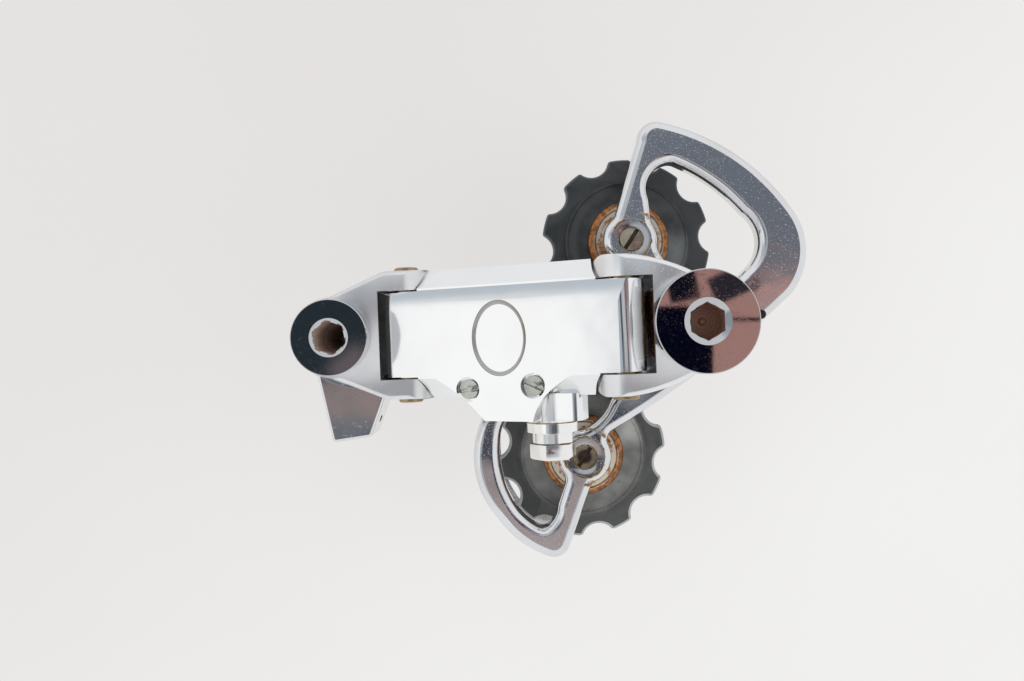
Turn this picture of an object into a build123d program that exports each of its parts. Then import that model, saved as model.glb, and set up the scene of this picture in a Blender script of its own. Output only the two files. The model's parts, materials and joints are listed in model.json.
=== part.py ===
"""Rear bicycle derailleur: a parallelogram of forged alloy links with a looped two-plate cage.

Frame, in millimetres: X runs from the hanger bolt towards the cage pivot, Y along the link pins,
and Z out from the wheel. The origin is on the hanger bolt's axis, at the face that seats on the
frame's hanger. The derailleur is at rest, with its links swung out and its cage wound back.
"""
from build123d import *
from math import cos, pi, radians, sin, sqrt
import os

os.makedirs("parts", exist_ok=True)

# ---- Driving dimensions -------------------------------------------------------------------
# Link work: two links of one length between two knuckles.
LINK_LENGTH = 45.2          # pin to pin
LINK_ANGLE = 20.0           # rise of the links at rest, degrees
PIN_R = 2.5
PIN_PROUD = 0.8             # how far a pin's end stands out of its ear
RUNNING_GAP = 0.05          # radial clearance of a turning fit
INNER_PIN_STEP = (1.0, -8.4)    # X and Z from an outer pin to its inner pin, same on both knuckles

# Upper knuckle, on the hanger bolt.
B_PIN = (14.6, 15.2)        # X and Z of its outer pin
EAR_OUTER_Y = 13.1
EAR_INNER_Y = 9.0
EAR_R = 5.2                 # ear lobe round the outer pin
EAR_SMALL_R = 4.3           # ear lobe round the inner pin
B_FLOOR_X = 9.2             # floor of the clevis
B_BARREL_R = 8.2

# Hanger bolt, an M10 with a round head.
BOLT_SHANK_R = 5.5
HANGER_THREAD_R = 5.0
HANGER_THREAD_LENGTH = 10.5
HANGER_HEAD_R = 7.6
HANGER_HEAD_THICK = 3.8
SOCKET_FLATS = 6.0          # hex key size of both big bolts
LEAD_IN = 0.45              # depth of the shallow cone round each hex
HEAD_RIM = 0.18             # broken edge of both round heads

# Lower knuckle and the bolt that the cage turns on.
P_AXIS_FROM_PIN = 13.3      # X from the outer pin to the cage pivot
P_FLOOR_FROM_PIN = 4.95
P_BARREL_R = 9.5
P_BARREL_BOTTOM_Z = 8.0
P_BARREL_TOP_Z = 39.3
PIVOT_HEAD_R = 9.26
PIVOT_HEAD_TOP_Z = 41.5
PIVOT_SHANK_R = 5.0

# Cage: an outer and an inner plate, held apart by the pulleys' bushes.
PLATE_TOP_Z = 7.5
PLATE_THICK = 3.8
INNER_PLATE_THICK = 1.8
CAGE_GAP = 10.8             # clear width between the plates
BOSS_R = 6.0                # plate boss round a pulley bolt
UPPER_PULLEY = (62.9, 19.1)
LOWER_PULLEY = (50.9, -28.1)

# Pulleys: ten teeth for a half-inch chain.
TEETH = 10
CHAIN_PITCH = 12.7
PULLEY_TIP_R = 19.1
ROLLER_SEAT_R = 3.9         # for a 7.75 mm chain roller
ROLLER_CIRCLE_R = CHAIN_PITCH / 2 / sin(pi / TEETH)
RIM_THICK = 2.6
WEB_THICK = 4.8
WEB_R = 13.9
UPPER_PHASE = 2.5           # angle of a tooth gap from +X, degrees
LOWER_PHASE = 27.0

# ---- Derived places -----------------------------------------------------------------------
COS_REST, SIN_REST = cos(radians(LINK_ANGLE)), sin(radians(LINK_ANGLE))
P_PIN = (B_PIN[0] + LINK_LENGTH * COS_REST, B_PIN[1] + LINK_LENGTH * SIN_REST)
B_INNER_PIN = (B_PIN[0] + INNER_PIN_STEP[0], B_PIN[1] + INNER_PIN_STEP[1])
P_INNER_PIN = (P_PIN[0] + INNER_PIN_STEP[0], P_PIN[1] + INNER_PIN_STEP[1])
P_AXIS_X = P_PIN[0] + P_AXIS_FROM_PIN
P_FLOOR_X = P_PIN[0] + P_FLOOR_FROM_PIN
B_FRONT_Z = B_PIN[1] + EAR_R
P_FRONT_Z = P_PIN[1] + EAR_R
PLATE_BOTTOM_Z = PLATE_TOP_Z - PLATE_THICK
INNER_PLATE_TOP_Z = PLATE_BOTTOM_Z - CAGE_GAP
INNER_PLATE_BOTTOM_Z = INNER_PLATE_TOP_Z - INNER_PLATE_THICK
PULLEY_MID_Z = (PLATE_BOTTOM_Z + INNER_PLATE_TOP_Z) / 2
BENCH_Z = -HANGER_THREAD_LENGTH     # the plane that the whole thing lies on
PIN_END_Y = EAR_OUTER_Y + PIN_PROUD

# A side plane looks along +Y, its own x running along the part and its own y outwards.
SIDE = Plane.XZ
OUTER_LINK_SIDE = Plane(origin=(B_PIN[0], 0, B_PIN[1]), x_dir=(COS_REST, 0, SIN_REST), z_dir=(0, -1, 0))
OUTER_LINK_PLAN = Plane(origin=(B_PIN[0], 0, B_PIN[1]), x_dir=(COS_REST, 0, SIN_REST),
                        z_dir=(-SIN_REST, 0, COS_REST))
INNER_LINK_SIDE = Plane(origin=(B_INNER_PIN[0], 0, B_INNER_PIN[1]), x_dir=(COS_REST, 0, SIN_REST),
                        z_dir=(0, -1, 0))
LINK_SECTION = Plane(origin=(B_PIN[0], 0, B_PIN[1]), x_dir=(0, 1, 0), z_dir=(COS_REST, 0, SIN_REST))


def save(part, name):
    """Name a finished piece and write it to its own file."""
    part.label = name
    export_step(part, f"parts/{name}.step")


def side_disc(place, radius):
    """A round face in the side view, to be extruded along Y."""
    with BuildSketch(SIDE) as disc:
        with Locations(place):
            Circle(radius)
    return disc.sketch


# ---- Upper knuckle ------------------------------------------------------------------------
EAR_NOSE_X = B_PIN[0] + EAR_R
STOP_BORE_Y = -17.2
STOP_BORE_Z = 11.0
STOP_BORE_R = 2.6           # takes the ferrule of a 5 mm cable housing
STOP_Z = (6.2, 16.3)
CLIP_WELL_R = 6.8
CLIP_WELL_DEPTH = 1.5
RETURN_WIRE_R = 0.6         # return spring, a coil round the inner pin
RETURN_COIL_R = 3.3
RETURN_COIL_HALF = 4.4
KNUCKLE_ROUND = 0.9         # rounding of both knuckles' front edges
WEB_X = (6.0, 12.4)
WEB_Z = (0.6, 2.7)          # stays below the return spring's leg

with BuildPart() as b_knuckle:
    # Yoke: one outline seen from the front, trimmed by the ears' outline seen from the side.
    with BuildSketch(Plane.XY):
        with BuildLine():
            Polyline((-1.0, 8.1), (1.9, 9.35), (10.4, 13.0), (EAR_NOSE_X, EAR_OUTER_Y),
                     (EAR_NOSE_X, -EAR_OUTER_Y), (10.4, -13.0), (1.9, -9.35), (-1.0, -8.1), close=True)
        make_face()
    extrude(amount=B_FRONT_Z)
    fillet(b_knuckle.edges().filter_by(Axis.Z).filter_by_position(Axis.X, 10, 11), 5)
    top_edges = b_knuckle.faces().sort_by(Axis.Z)[-1].edges()
    fillet(top_edges.filter_by_position(Axis.X, 1, EAR_NOSE_X - 1), KNUCKLE_ROUND)
    with BuildSketch(SIDE):
        with BuildLine():
            CenterArc(B_PIN, EAR_R, 0, 360)
            CenterArc(B_INNER_PIN, EAR_SMALL_R, 0, 360)
            Polyline((-9, B_INNER_PIN[1] - EAR_SMALL_R), (-9, B_PIN[1] + EAR_R))
        make_hull()
    extrude(amount=30, both=True, mode=Mode.INTERSECT)
    # Barrel for the hanger bolt.
    with BuildSketch(Plane.XY):
        Circle(B_BARREL_R)
    extrude(amount=B_FRONT_Z)
    # Cable stop, a tapered lug below the barrel.
    with BuildSketch(Plane.XY.offset(STOP_Z[0])):
        with BuildLine():
            Polyline((-4.9, -6.0), (-1.8, -21.7), (6.1, -20.8), (9.3, -12.6), (4.0, -6.0), close=True)
        make_face()
    extrude(amount=STOP_Z[1] - STOP_Z[0])
    fillet(b_knuckle.edges().filter_by(Axis.Z).filter_by_position(Axis.Y, -22, -20), 0.8)
    lug_rim = b_knuckle.edges().filter_by_position(Axis.Z, STOP_Z[1] - 0.01, STOP_Z[1] + 0.01)
    fillet(lug_rim.filter_by_position(Axis.Y, -22, -13.2), 0.6)
    # Clevis slot and pin holes.
    with Locations(((B_FLOOR_X + EAR_NOSE_X) / 2 + 1, 0, B_FRONT_Z / 2)):
        Box(EAR_NOSE_X - B_FLOOR_X + 2, 2 * EAR_INNER_Y, B_FRONT_Z + 10, mode=Mode.SUBTRACT)
    # Web that ties the two ears together behind the links, grown out of the barrel's foot.
    with Locations((WEB_X[0], 0, WEB_Z[0])):
        Box(WEB_X[1] - WEB_X[0], 2 * EAR_INNER_Y + 1, WEB_Z[1] - WEB_Z[0],
            align=(Align.MIN, Align.CENTER, Align.MIN))
    for place in (B_PIN, B_INNER_PIN):
        extrude(side_disc(place, PIN_R), amount=30, both=True, mode=Mode.SUBTRACT)
    # Bore for the hanger bolt, with a shallow well behind for its clip.
    with BuildSketch(Plane.XY):
        Circle(BOLT_SHANK_R + RUNNING_GAP)
    extrude(amount=B_FRONT_Z + 1, mode=Mode.SUBTRACT)
    with BuildSketch(Plane.XY):
        Circle(CLIP_WELL_R)
    extrude(amount=CLIP_WELL_DEPTH, mode=Mode.SUBTRACT)
    # Housing socket in the cable stop, and the small hole that only the cable passes.
    with BuildSketch(Plane.YZ.offset(4.6)):
        with Locations((STOP_BORE_Y, STOP_BORE_Z)):
            Circle(STOP_BORE_R)
    extrude(amount=-12, mode=Mode.SUBTRACT)
    with BuildSketch(Plane.YZ.offset(4.6)):
        with Locations((STOP_BORE_Y, STOP_BORE_Z)):
            Circle(1.0)
    extrude(amount=8, mode=Mode.SUBTRACT)
    # Anchor hole for the return spring's leg, low in the clevis floor.
    with BuildSketch(Plane.YZ.offset(B_FLOOR_X + 0.5)):
        with Locations((RETURN_COIL_HALF, B_INNER_PIN[1] - RETURN_COIL_R)):
            Circle(RETURN_WIRE_R + 0.1)
    extrude(amount=-3.0, mode=Mode.SUBTRACT)
save(b_knuckle.part, "b_knuckle")


# ---- Hanger bolt and its clip -------------------------------------------------------------
HEAD_BOTTOM_Z = B_FRONT_Z + 0.3
HEAD_TOP_Z = HEAD_BOTTOM_Z + HANGER_HEAD_THICK
GROOVE_R = 4.7
CLIP_Z = (0.45, 1.35)


def turned(half_profile, axis_x=0.0):
    """A turned solid: its half outline, given as radius and height, spun about a Z axis."""
    with BuildPart() as blank:
        with BuildSketch(Plane.XZ):
            with BuildLine():
                Polyline(*[(axis_x + radius, height) for radius, height in half_profile], close=True)
            make_face()
        revolve(axis=Axis((axis_x, 0, 0), (0, 0, 1)))
    return blank.part


def hex_socket(axis_x, top_z, depth, pilot_depth, pilot_r, mouth_r, turn, pip_r=0.0):
    """The space of a hex socket: lead-in chamfer, hex, and the drilled hole beyond with its centre pip."""
    with BuildPart() as space:
        with BuildSketch(Plane(origin=(axis_x, 0, top_z))):
            RegularPolygon(SOCKET_FLATS / 2, 6, major_radius=False, rotation=turn)
        extrude(amount=-depth)
        with BuildSketch(Plane(origin=(axis_x, 0, top_z))):
            Circle(pilot_r)
        extrude(amount=-pilot_depth)
        if pip_r:
            with Locations((axis_x, 0, top_z - pilot_depth)):
                Cone(pip_r, 0.6 * pip_r, 0.4, align=(Align.CENTER, Align.CENTER, Align.MIN),
                     mode=Mode.SUBTRACT)
        with Locations((axis_x, 0, top_z - LEAD_IN / 2)):
            Cone(SOCKET_FLATS / 2 + 0.1, mouth_r, LEAD_IN)
    return space.part


with BuildPart() as hanger_bolt:
    add(turned([(0, BENCH_Z), (HANGER_THREAD_R - 0.8, BENCH_Z), (HANGER_THREAD_R, BENCH_Z + 0.8),
                (HANGER_THREAD_R, 0), (BOLT_SHANK_R, 0), (BOLT_SHANK_R, CLIP_Z[0] - 0.02),
                (GROOVE_R, CLIP_Z[0] - 0.02), (GROOVE_R, CLIP_Z[1] + 0.02), (BOLT_SHANK_R, CLIP_Z[1] + 0.02),
                (BOLT_SHANK_R, HEAD_BOTTOM_Z), (HANGER_HEAD_R - 0.4, HEAD_BOTTOM_Z),
                (HANGER_HEAD_R, HEAD_BOTTOM_Z + 0.4), (HANGER_HEAD_R, HEAD_TOP_Z - HEAD_RIM),
                (HANGER_HEAD_R - HEAD_RIM, HEAD_TOP_Z), (0, HEAD_TOP_Z)]))
    add(hex_socket(0, HEAD_TOP_Z, 9.5, 24.0, 2.6, 3.85, 40), mode=Mode.SUBTRACT)
save(hanger_bolt.part, "hanger_bolt")

with BuildPart() as hanger_clip:
    with BuildSketch(Plane.XY.offset(CLIP_Z[0])):
        Circle(CLIP_WELL_R - 0.4)
        Circle(GROOVE_R + 0.05, mode=Mode.SUBTRACT)
        with Locations((-CLIP_WELL_R, 0)):
            Rectangle(CLIP_WELL_R, 2.4, mode=Mode.SUBTRACT)
    extrude(amount=CLIP_Z[1] - CLIP_Z[0])
save(hanger_clip.part, "hanger_clip")


# ---- Link pins ----------------------------------------------------------------------------
FLUSH_END_Y = EAR_OUTER_Y - 0.1     # the lower knuckle's pins stand proud on one side only

for pin_name, pin_place, upper_end in (("b_outer_pin", B_PIN, PIN_END_Y),
                                       ("b_inner_pin", B_INNER_PIN, PIN_END_Y),
                                       ("p_outer_pin", P_PIN, FLUSH_END_Y),
                                       ("p_inner_pin", P_INNER_PIN, FLUSH_END_Y)):
    with BuildPart() as pin:
        extrude(side_disc(pin_place, PIN_R), amount=PIN_END_Y)
        extrude(side_disc(pin_place, PIN_R), amount=-upper_end)
        chamfer(pin.edges().filter_by(GeomType.CIRCLE), 0.25)
    save(pin.part, pin_name)


# ---- Outer link ---------------------------------------------------------------------------
# Heights here are from the line through the link's own pins, lengths along that line.
EYE_R = 4.1
FACE_Y = (-9.0, 8.8)
WIDE_Y = 12.9
WALL = 1.8
SKIRT_LOW = -1.8
EAR_RELIEF_R = 5.6
EYE_HALF_WIDTH = 8.7
ANCHOR_U = 30.4
BOSS_FACE_Y = -17.8
LIMIT_SCREWS = ((14.6, -11.3), (28.1, -10.8))
LIMIT_RECESS_R = 2.45
CROWN_START_Y = 4.6
CROWN_DROP = 0.32
PANEL_PLACE = (21.5, -1.4)
PANEL_HALF_SIZE = (5.6, 7.4)
PANEL_DEPTH = 0.35
LIMIT_HEAD_R = 1.95
LIMIT_THREAD_R = 1.5
BULGE_LOW = -1.2
BOSS_ROOT = 0.4             # shallow in the skirt, so that the stop block passes inside it


def ear_room(end_u, ear_side, reach):
    """The side view of the space that an ear sweeps through beside a link's end, at a distance along -Y."""
    with BuildSketch(OUTER_LINK_SIDE.offset(reach)) as room:
        with Locations((end_u, 0)):
            Circle(EAR_RELIEF_R)
        with BuildLine():
            Polyline((end_u, EAR_RELIEF_R), (end_u - 8 * ear_side, EAR_RELIEF_R), (end_u - 8 * ear_side, -6),
                     (end_u + 8.2 * ear_side, -6), (end_u + 5.4 * ear_side, 1.5), (end_u, 0), close=True)
        make_face()
    return room.sketch


with BuildPart() as outer_link:
    # Wide body: a flat face with a bevel down to a skirt on each side.
    with BuildSketch(LINK_SECTION):
        with BuildLine():
            Polyline((FACE_Y[0], EYE_R), (FACE_Y[1], EYE_R), (WIDE_Y, 0.8), (WIDE_Y, SKIRT_LOW),
                     (WIDE_Y - WALL, SKIRT_LOW), (WIDE_Y - WALL, 0.2), (FACE_Y[1], 1.6), (FACE_Y[0], 1.6),
                     (WALL - WIDE_Y, 0.2), (WALL - WIDE_Y, SKIRT_LOW), (-WIDE_Y, SKIRT_LOW), (-WIDE_Y, 0.8),
                     close=True)
        make_face()
    extrude(amount=LINK_LENGTH)
    # Lower bulge of the face, which carries the two limit screws.
    with BuildSketch(OUTER_LINK_PLAN.offset(BULGE_LOW)):
        with BuildLine():
            ThreePointArc((6.6, -8.5), (13.2, -12.8), (18.0, -17.5))
            Line((18.0, -17.5), (27.9, -17.7))
            ThreePointArc((27.9, -17.7), (29.0, -14.8), (31.1, -12.2))
            ThreePointArc((31.1, -12.2), (33.6, -10.3), (36.8, -8.5))
            Line((36.8, -8.5), (6.6, -8.5))
        make_face()
    extrude(amount=EYE_R - BULGE_LOW)
    # Boss for the cable anchor, outside the skirt.
    with BuildSketch(OUTER_LINK_SIDE.offset(WIDE_Y - BOSS_ROOT)):
        with Locations((ANCHOR_U + 0.2, -1.6)):
            RectangleRounded(12.4, 7.0, 1.6)
    extrude(amount=-BOSS_FACE_Y - WIDE_Y + BOSS_ROOT)
    # Room for the knuckles' ears, at both ends and through the whole swing.
    for end_u, ear_side in ((0, 1), (LINK_LENGTH, -1)):
        for reach in (-WIDE_Y - 8, EYE_HALF_WIDTH):
            extrude(ear_room(end_u, ear_side, reach), amount=WIDE_Y + 8 - EYE_HALF_WIDTH, mode=Mode.SUBTRACT)
    # Eyes: full-width tubes, the face running on over them.
    with BuildSketch(OUTER_LINK_SIDE):
        with Locations((0, 0), (LINK_LENGTH, 0)):
            Circle(EYE_R)
        with BuildLine():
            Polyline((-3.0, EYE_R), (LINK_LENGTH, EYE_R), (LINK_LENGTH, 1.6), (0, 1.6), (-3.0, 2.6),
                     close=True)
        make_face()
    extrude(amount=EYE_HALF_WIDTH - 0.1, both=True)
    with Locations(OUTER_LINK_SIDE):
        with Locations((0, 0, 0), (LINK_LENGTH, 0, 0)):
            Cylinder(PIN_R + RUNNING_GAP, 60, mode=Mode.SUBTRACT)
    # The face falls away a little towards its upper edge.
    with BuildSketch(LINK_SECTION.offset(-EYE_R)):
        with BuildLine():
            crown = ThreePointArc((CROWN_START_Y, EYE_R),
                                  ((CROWN_START_Y + FACE_Y[1]) / 2, EYE_R - CROWN_DROP / 4),
                                  (FACE_Y[1], EYE_R - CROWN_DROP))
            Polyline(crown @ 1, (FACE_Y[1] + 1, EYE_R - CROWN_DROP), (FACE_Y[1] + 1, EYE_R + 1),
                     (CROWN_START_Y, EYE_R + 1), crown @ 0)
        make_face()
    extrude(amount=LINK_LENGTH + 2 * EYE_R, mode=Mode.SUBTRACT)
    # Plain oval panel let into the face.
    with BuildSketch(OUTER_LINK_PLAN.offset(EYE_R)):
        with Locations(PANEL_PLACE):
            Ellipse(*PANEL_HALF_SIZE)
    extrude(amount=-PANEL_DEPTH, mode=Mode.SUBTRACT)
    # Recesses and holes for the limit screws, tapped hole for the anchor bolt.
    with Locations(OUTER_LINK_PLAN.offset(EYE_R)):
        with Locations(*LIMIT_SCREWS):
            CounterBoreHole(LIMIT_THREAD_R + 0.02, LIMIT_RECESS_R, 2.6)
    with BuildSketch(OUTER_LINK_SIDE.offset(-BOSS_FACE_Y)):
        with Locations((ANCHOR_U, -0.1)):
            Circle(PIN_R)
    extrude(amount=-5.6, mode=Mode.SUBTRACT)
save(outer_link.part, "outer_link")


# ---- Inner link ---------------------------------------------------------------------------
INNER_EYE_R = 3.5
INNER_HALF_WIDTH = 8.7
STRIP_W = (-1.5, 2.5)       # bottom and top of the strip, from the pin line
STRIP_TOP_WALL = 1.6
LUG_INNER_Y = 5.3           # the coil sits between the two lugs
COIL_ROOM_U = 6.5
STOP_BLOCK_U = (18.4, 22.3)     # the block that both limit screws close on
STOP_BLOCK_W = 4.3

with BuildPart() as inner_link:
    with BuildSketch(INNER_LINK_SIDE):
        with Locations((0, 0), (LINK_LENGTH, 0)):
            Circle(INNER_EYE_R)
        with Locations((LINK_LENGTH / 2, sum(STRIP_W) / 2)):
            Rectangle(LINK_LENGTH, STRIP_W[1] - STRIP_W[0])
    extrude(amount=INNER_HALF_WIDTH - 0.1, both=True)
    # Ledge and block that the limit screws work against.
    with BuildSketch(INNER_LINK_SIDE.offset(INNER_HALF_WIDTH - 1)):
        with BuildLine():
            Polyline((STOP_BLOCK_U[0] - 2, 0.0), (STOP_BLOCK_U[1] + 2, 0.0), (STOP_BLOCK_U[1] + 2, 2.0),
                     (STOP_BLOCK_U[1], 2.0), (STOP_BLOCK_U[1] - 0.4, STOP_BLOCK_W),
                     (STOP_BLOCK_U[0] + 0.4, STOP_BLOCK_W), (STOP_BLOCK_U[0], 2.0),
                     (STOP_BLOCK_U[0] - 2, 2.0), close=True)
        make_face()
    extrude(amount=4.6)
    # Channel under the strip, and the room between the lugs for the return spring.
    with Locations(INNER_LINK_SIDE):
        with Locations(((COIL_ROOM_U + LINK_LENGTH - 7) / 2, STRIP_W[0] - 0.1, 0)):
            Box(LINK_LENGTH - 7 - COIL_ROOM_U, 2 * (STRIP_W[1] - STRIP_TOP_WALL - STRIP_W[0] + 0.1),
                2 * (INNER_HALF_WIDTH - 2.1), mode=Mode.SUBTRACT)
        with Locations((COIL_ROOM_U / 2 - 3, 0, 0)):
            Box(COIL_ROOM_U + 6, 12, 2 * LUG_INNER_Y, mode=Mode.SUBTRACT)
        with Locations((0, 0, 0), (LINK_LENGTH, 0, 0)):
            Cylinder(PIN_R + RUNNING_GAP, 60, mode=Mode.SUBTRACT)
save(inner_link.part, "inner_link")


# ---- Return spring ------------------------------------------------------------------------
WIRE_SIDES = 6              # a six-sided section keeps the faces of the long coils few


def coil_spring(mean_r, wire_r, height, turns):
    """A coil along Z from z = 0, starting on +X, and its centre line; the section keeps the wire's area."""
    corner_r = wire_r * sqrt(2 * pi / (WIRE_SIDES * sin(2 * pi / WIRE_SIDES)))
    with BuildPart() as coil:
        with BuildLine() as path:
            Helix(height / turns, height, mean_r)
        with BuildSketch(Plane(origin=path.line @ 0, z_dir=path.line % 0)):
            RegularPolygon(corner_r, WIRE_SIDES)
        sweep()
    return coil.part, path.line


def leg(start, direction, length, wire_r):
    """A straight leg of spring wire with a rounded knee where it leaves the coil."""
    with BuildPart() as rod:
        with BuildSketch(Plane(origin=start, z_dir=direction)):
            Circle(wire_r)
        extrude(amount=length)
        with Locations(start):
            Sphere(wire_r)
    return rod.part


def upright_leg(start, direction, length, wire_r):
    """A leg that turns square to the coil, set a little into the coil's end so that the two join."""
    sunk = start - direction * 0.5 * wire_r
    with BuildPart() as rod:
        with BuildSketch(Plane(origin=sunk, z_dir=direction)):
            Circle(0.96 * wire_r)
        extrude(amount=length + 0.5 * wire_r)
    return rod.part


RETURN_START = -90.0        # the first leg leaves the coil at its foot, towards the knuckle floor
RETURN_END = -47.2 + 360 * 5    # the second leg ends under the link's strip
RETURN_LEGS = (7.6, 8.3)

with BuildPart() as return_spring:
    return_turns = (RETURN_END - RETURN_START) / 360
    coil, wire = coil_spring(RETURN_COIL_R, RETURN_WIRE_R, 2 * RETURN_COIL_HALF, return_turns)
    add(coil)
    flat_start = Vector((wire % 0).X, (wire % 0).Y, 0) * -1
    flat_end = Vector((wire % 1).X, (wire % 1).Y, 0)
    add(leg(wire @ 0, flat_start, RETURN_LEGS[0], RETURN_WIRE_R))
    add(leg(wire @ 1, flat_end, RETURN_LEGS[1], RETURN_WIRE_R))
coil_seat = Plane(origin=(B_INNER_PIN[0], RETURN_COIL_HALF, B_INNER_PIN[1]), x_dir=(1, 0, 0),
                  z_dir=(0, -1, 0))
save(coil_seat.location * Rot(0, 0, RETURN_START) * return_spring.part, "return_spring")


# ---- Limit screws and cable anchor --------------------------------------------------------
LIMIT_HEAD_TOP = EYE_R - 0.5
LIMIT_TIP = -4.8

for screw_name, (screw_u, screw_y) in zip(("high_limit_screw", "low_limit_screw"), LIMIT_SCREWS):
    with BuildPart() as limit_screw:
        with BuildSketch(OUTER_LINK_PLAN.offset(LIMIT_TIP)):
            with Locations((screw_u, screw_y)):
                Circle(LIMIT_THREAD_R)
        extrude(amount=EYE_R - 2.6 - LIMIT_TIP)
        with BuildSketch(OUTER_LINK_PLAN.offset(EYE_R - 2.6)):
            with Locations((screw_u, screw_y)):
                Circle(LIMIT_HEAD_R)
        extrude(amount=LIMIT_HEAD_TOP - EYE_R + 2.6)
        with BuildSketch(OUTER_LINK_PLAN.offset(LIMIT_HEAD_TOP)):
            with Locations(Location((screw_u, screw_y, 0), (0, 0, 25))):
                Rectangle(5, 0.7)
        extrude(amount=-0.8, mode=Mode.SUBTRACT)
    save(limit_screw.part, screw_name)

WASHER_R = 4.95
WASHER_THICK = 2.1
COLLAR_R = 3.95
COLLAR_THICK = 2.2
ANCHOR_HEX_FLATS = 8.0
ANCHOR_HEX_THICK = 3.1
ANCHOR_PLACE = (ANCHOR_U, -0.1)
WASHER_PLANE = OUTER_LINK_SIDE.offset(-BOSS_FACE_Y)

with BuildPart() as cable_anchor_washer:
    with BuildSketch(WASHER_PLANE):
        with Locations(ANCHOR_PLACE):
            Circle(WASHER_R)
            Circle(PIN_R + 0.1, mode=Mode.SUBTRACT)
    extrude(amount=WASHER_THICK)
save(cable_anchor_washer.part, "cable_anchor_washer")

with BuildPart() as cable_anchor_bolt:
    with BuildSketch(WASHER_PLANE.offset(-5.2)):
        with Locations(ANCHOR_PLACE):
            Circle(PIN_R - 0.03)
    extrude(amount=5.2 + WASHER_THICK)
    with BuildSketch(WASHER_PLANE.offset(WASHER_THICK)):
        with Locations(ANCHOR_PLACE):
            Circle(COLLAR_R)
    extrude(amount=COLLAR_THICK)
    with BuildSketch(WASHER_PLANE.offset(WASHER_THICK + COLLAR_THICK)):
        with Locations(ANCHOR_PLACE):
            RegularPolygon(ANCHOR_HEX_FLATS / 2, 6, major_radius=False, rotation=30)
    extrude(amount=ANCHOR_HEX_THICK)
    chamfer(cable_anchor_bolt.faces().sort_by(Axis.Y)[0].edges(), 0.4)
save(cable_anchor_bolt.part, "cable_anchor_bolt")


# ---- Lower knuckle ------------------------------------------------------------------------
P_NOSE_X = P_PIN[0] - EAR_R
P_YOKE_BOTTOM_Z = P_INNER_PIN[1] - EAR_SMALL_R
P_COLLAR_R = 9.1
P_BORE_BOTTOM_Z = 27.0
SPRING_WELL_R = 7.0
STOP_PIN = (P_AXIS_X + 19.5, 1.5)
STOP_PIN_R = 1.0
STOP_LUG_THICK = 3.0
CAGE_WIRE_R = 0.6
CAGE_COIL_R = 6.1
CAGE_COIL_Z = (P_BARREL_BOTTOM_Z + 0.9, P_BORE_BOTTOM_Z - 1.2)
CAGE_COIL_TURNS = 4.25
CAGE_COIL_START = 150.0     # direction of the leg that stands in the cage plate

with BuildPart() as p_knuckle:
    with BuildSketch(Plane.XY.offset(P_YOKE_BOTTOM_Z)):
        with BuildLine():
            flank = ThreePointArc((P_PIN[0], 13.1), (P_PIN[0] + 6.3, 11.9), (P_PIN[0] + 12.4, 9.4))
            Polyline(flank @ 1, (P_PIN[0] + 12.4, -9.4))
            ThreePointArc((P_PIN[0] + 12.4, -9.4), (P_PIN[0] + 6.3, -11.9), (P_PIN[0], -13.1))
            Polyline((P_PIN[0], -13.1), (P_NOSE_X, -13.1), (P_NOSE_X, 13.1), flank @ 0)
        make_face()
    extrude(amount=P_FRONT_Z - P_YOKE_BOTTOM_Z)
    fillet(p_knuckle.edges().filter_by(Axis.Z).group_by(Axis.X)[0], 1.4)
    top_edges = p_knuckle.faces().sort_by(Axis.Z)[-1].edges()
    fillet(top_edges.filter_by_position(Axis.X, P_NOSE_X + 1, P_AXIS_X - 2), KNUCKLE_ROUND)
    with BuildSketch(SIDE):
        with BuildLine():
            CenterArc(P_PIN, EAR_R, 0, 360)
            CenterArc(P_INNER_PIN, EAR_SMALL_R, 0, 360)
            Polyline((P_AXIS_X + 9, P_YOKE_BOTTOM_Z), (P_AXIS_X + 9, P_FRONT_Z))
        make_hull()
    extrude(amount=30, both=True, mode=Mode.INTERSECT)
    # Barrel for the pivot bolt and the cage spring.
    add(turned([(0, P_BARREL_BOTTOM_Z), (P_BARREL_R, P_BARREL_BOTTOM_Z), (P_BARREL_R, P_FRONT_Z - 0.6),
                (P_COLLAR_R, P_FRONT_Z), (P_COLLAR_R, P_BARREL_TOP_Z), (0, P_BARREL_TOP_Z)], P_AXIS_X))
    # Lug that the cage's stop pin comes to rest on.
    with BuildSketch(Plane.XY.offset(P_BARREL_BOTTOM_Z)):
        with BuildLine():
            Polyline((P_AXIS_X + 5, -8.0), (P_AXIS_X + 17.0, -2.6), (P_AXIS_X + 18.9, -1.4),
                     (P_AXIS_X + 18.9, 0.35), (P_AXIS_X + 8.5, 4.2), (P_AXIS_X + 5, 4), close=True)
        make_face()
    extrude(amount=STOP_LUG_THICK)
    # Clevis slot, pin holes, bolt bore and spring well.
    with Locations((P_FLOOR_X - 10, 0, P_BARREL_TOP_Z + 1 - 12)):
        Box(20, 2 * EAR_INNER_Y, 24, mode=Mode.SUBTRACT)
    for place in (P_PIN, P_INNER_PIN):
        extrude(side_disc(place, PIN_R), amount=30, both=True, mode=Mode.SUBTRACT)
    bolt_bore_r = PIVOT_SHANK_R + RUNNING_GAP
    add(turned([(0, 0), (SPRING_WELL_R, 0), (SPRING_WELL_R, P_BORE_BOTTOM_Z), (bolt_bore_r, P_BORE_BOTTOM_Z),
                (bolt_bore_r, 50), (0, 50)], P_AXIS_X), mode=Mode.SUBTRACT)
    with BuildSketch(Plane.XY.offset(P_BORE_BOTTOM_Z - 1)):
        with Locations((P_AXIS_X, 0)):
            with PolarLocations(CAGE_COIL_R, 1, start_angle=CAGE_COIL_START + 360 * CAGE_COIL_TURNS):
                Circle(CAGE_WIRE_R + 0.1)
    extrude(amount=3.5, mode=Mode.SUBTRACT)
save(p_knuckle.part, "p_knuckle")


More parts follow.
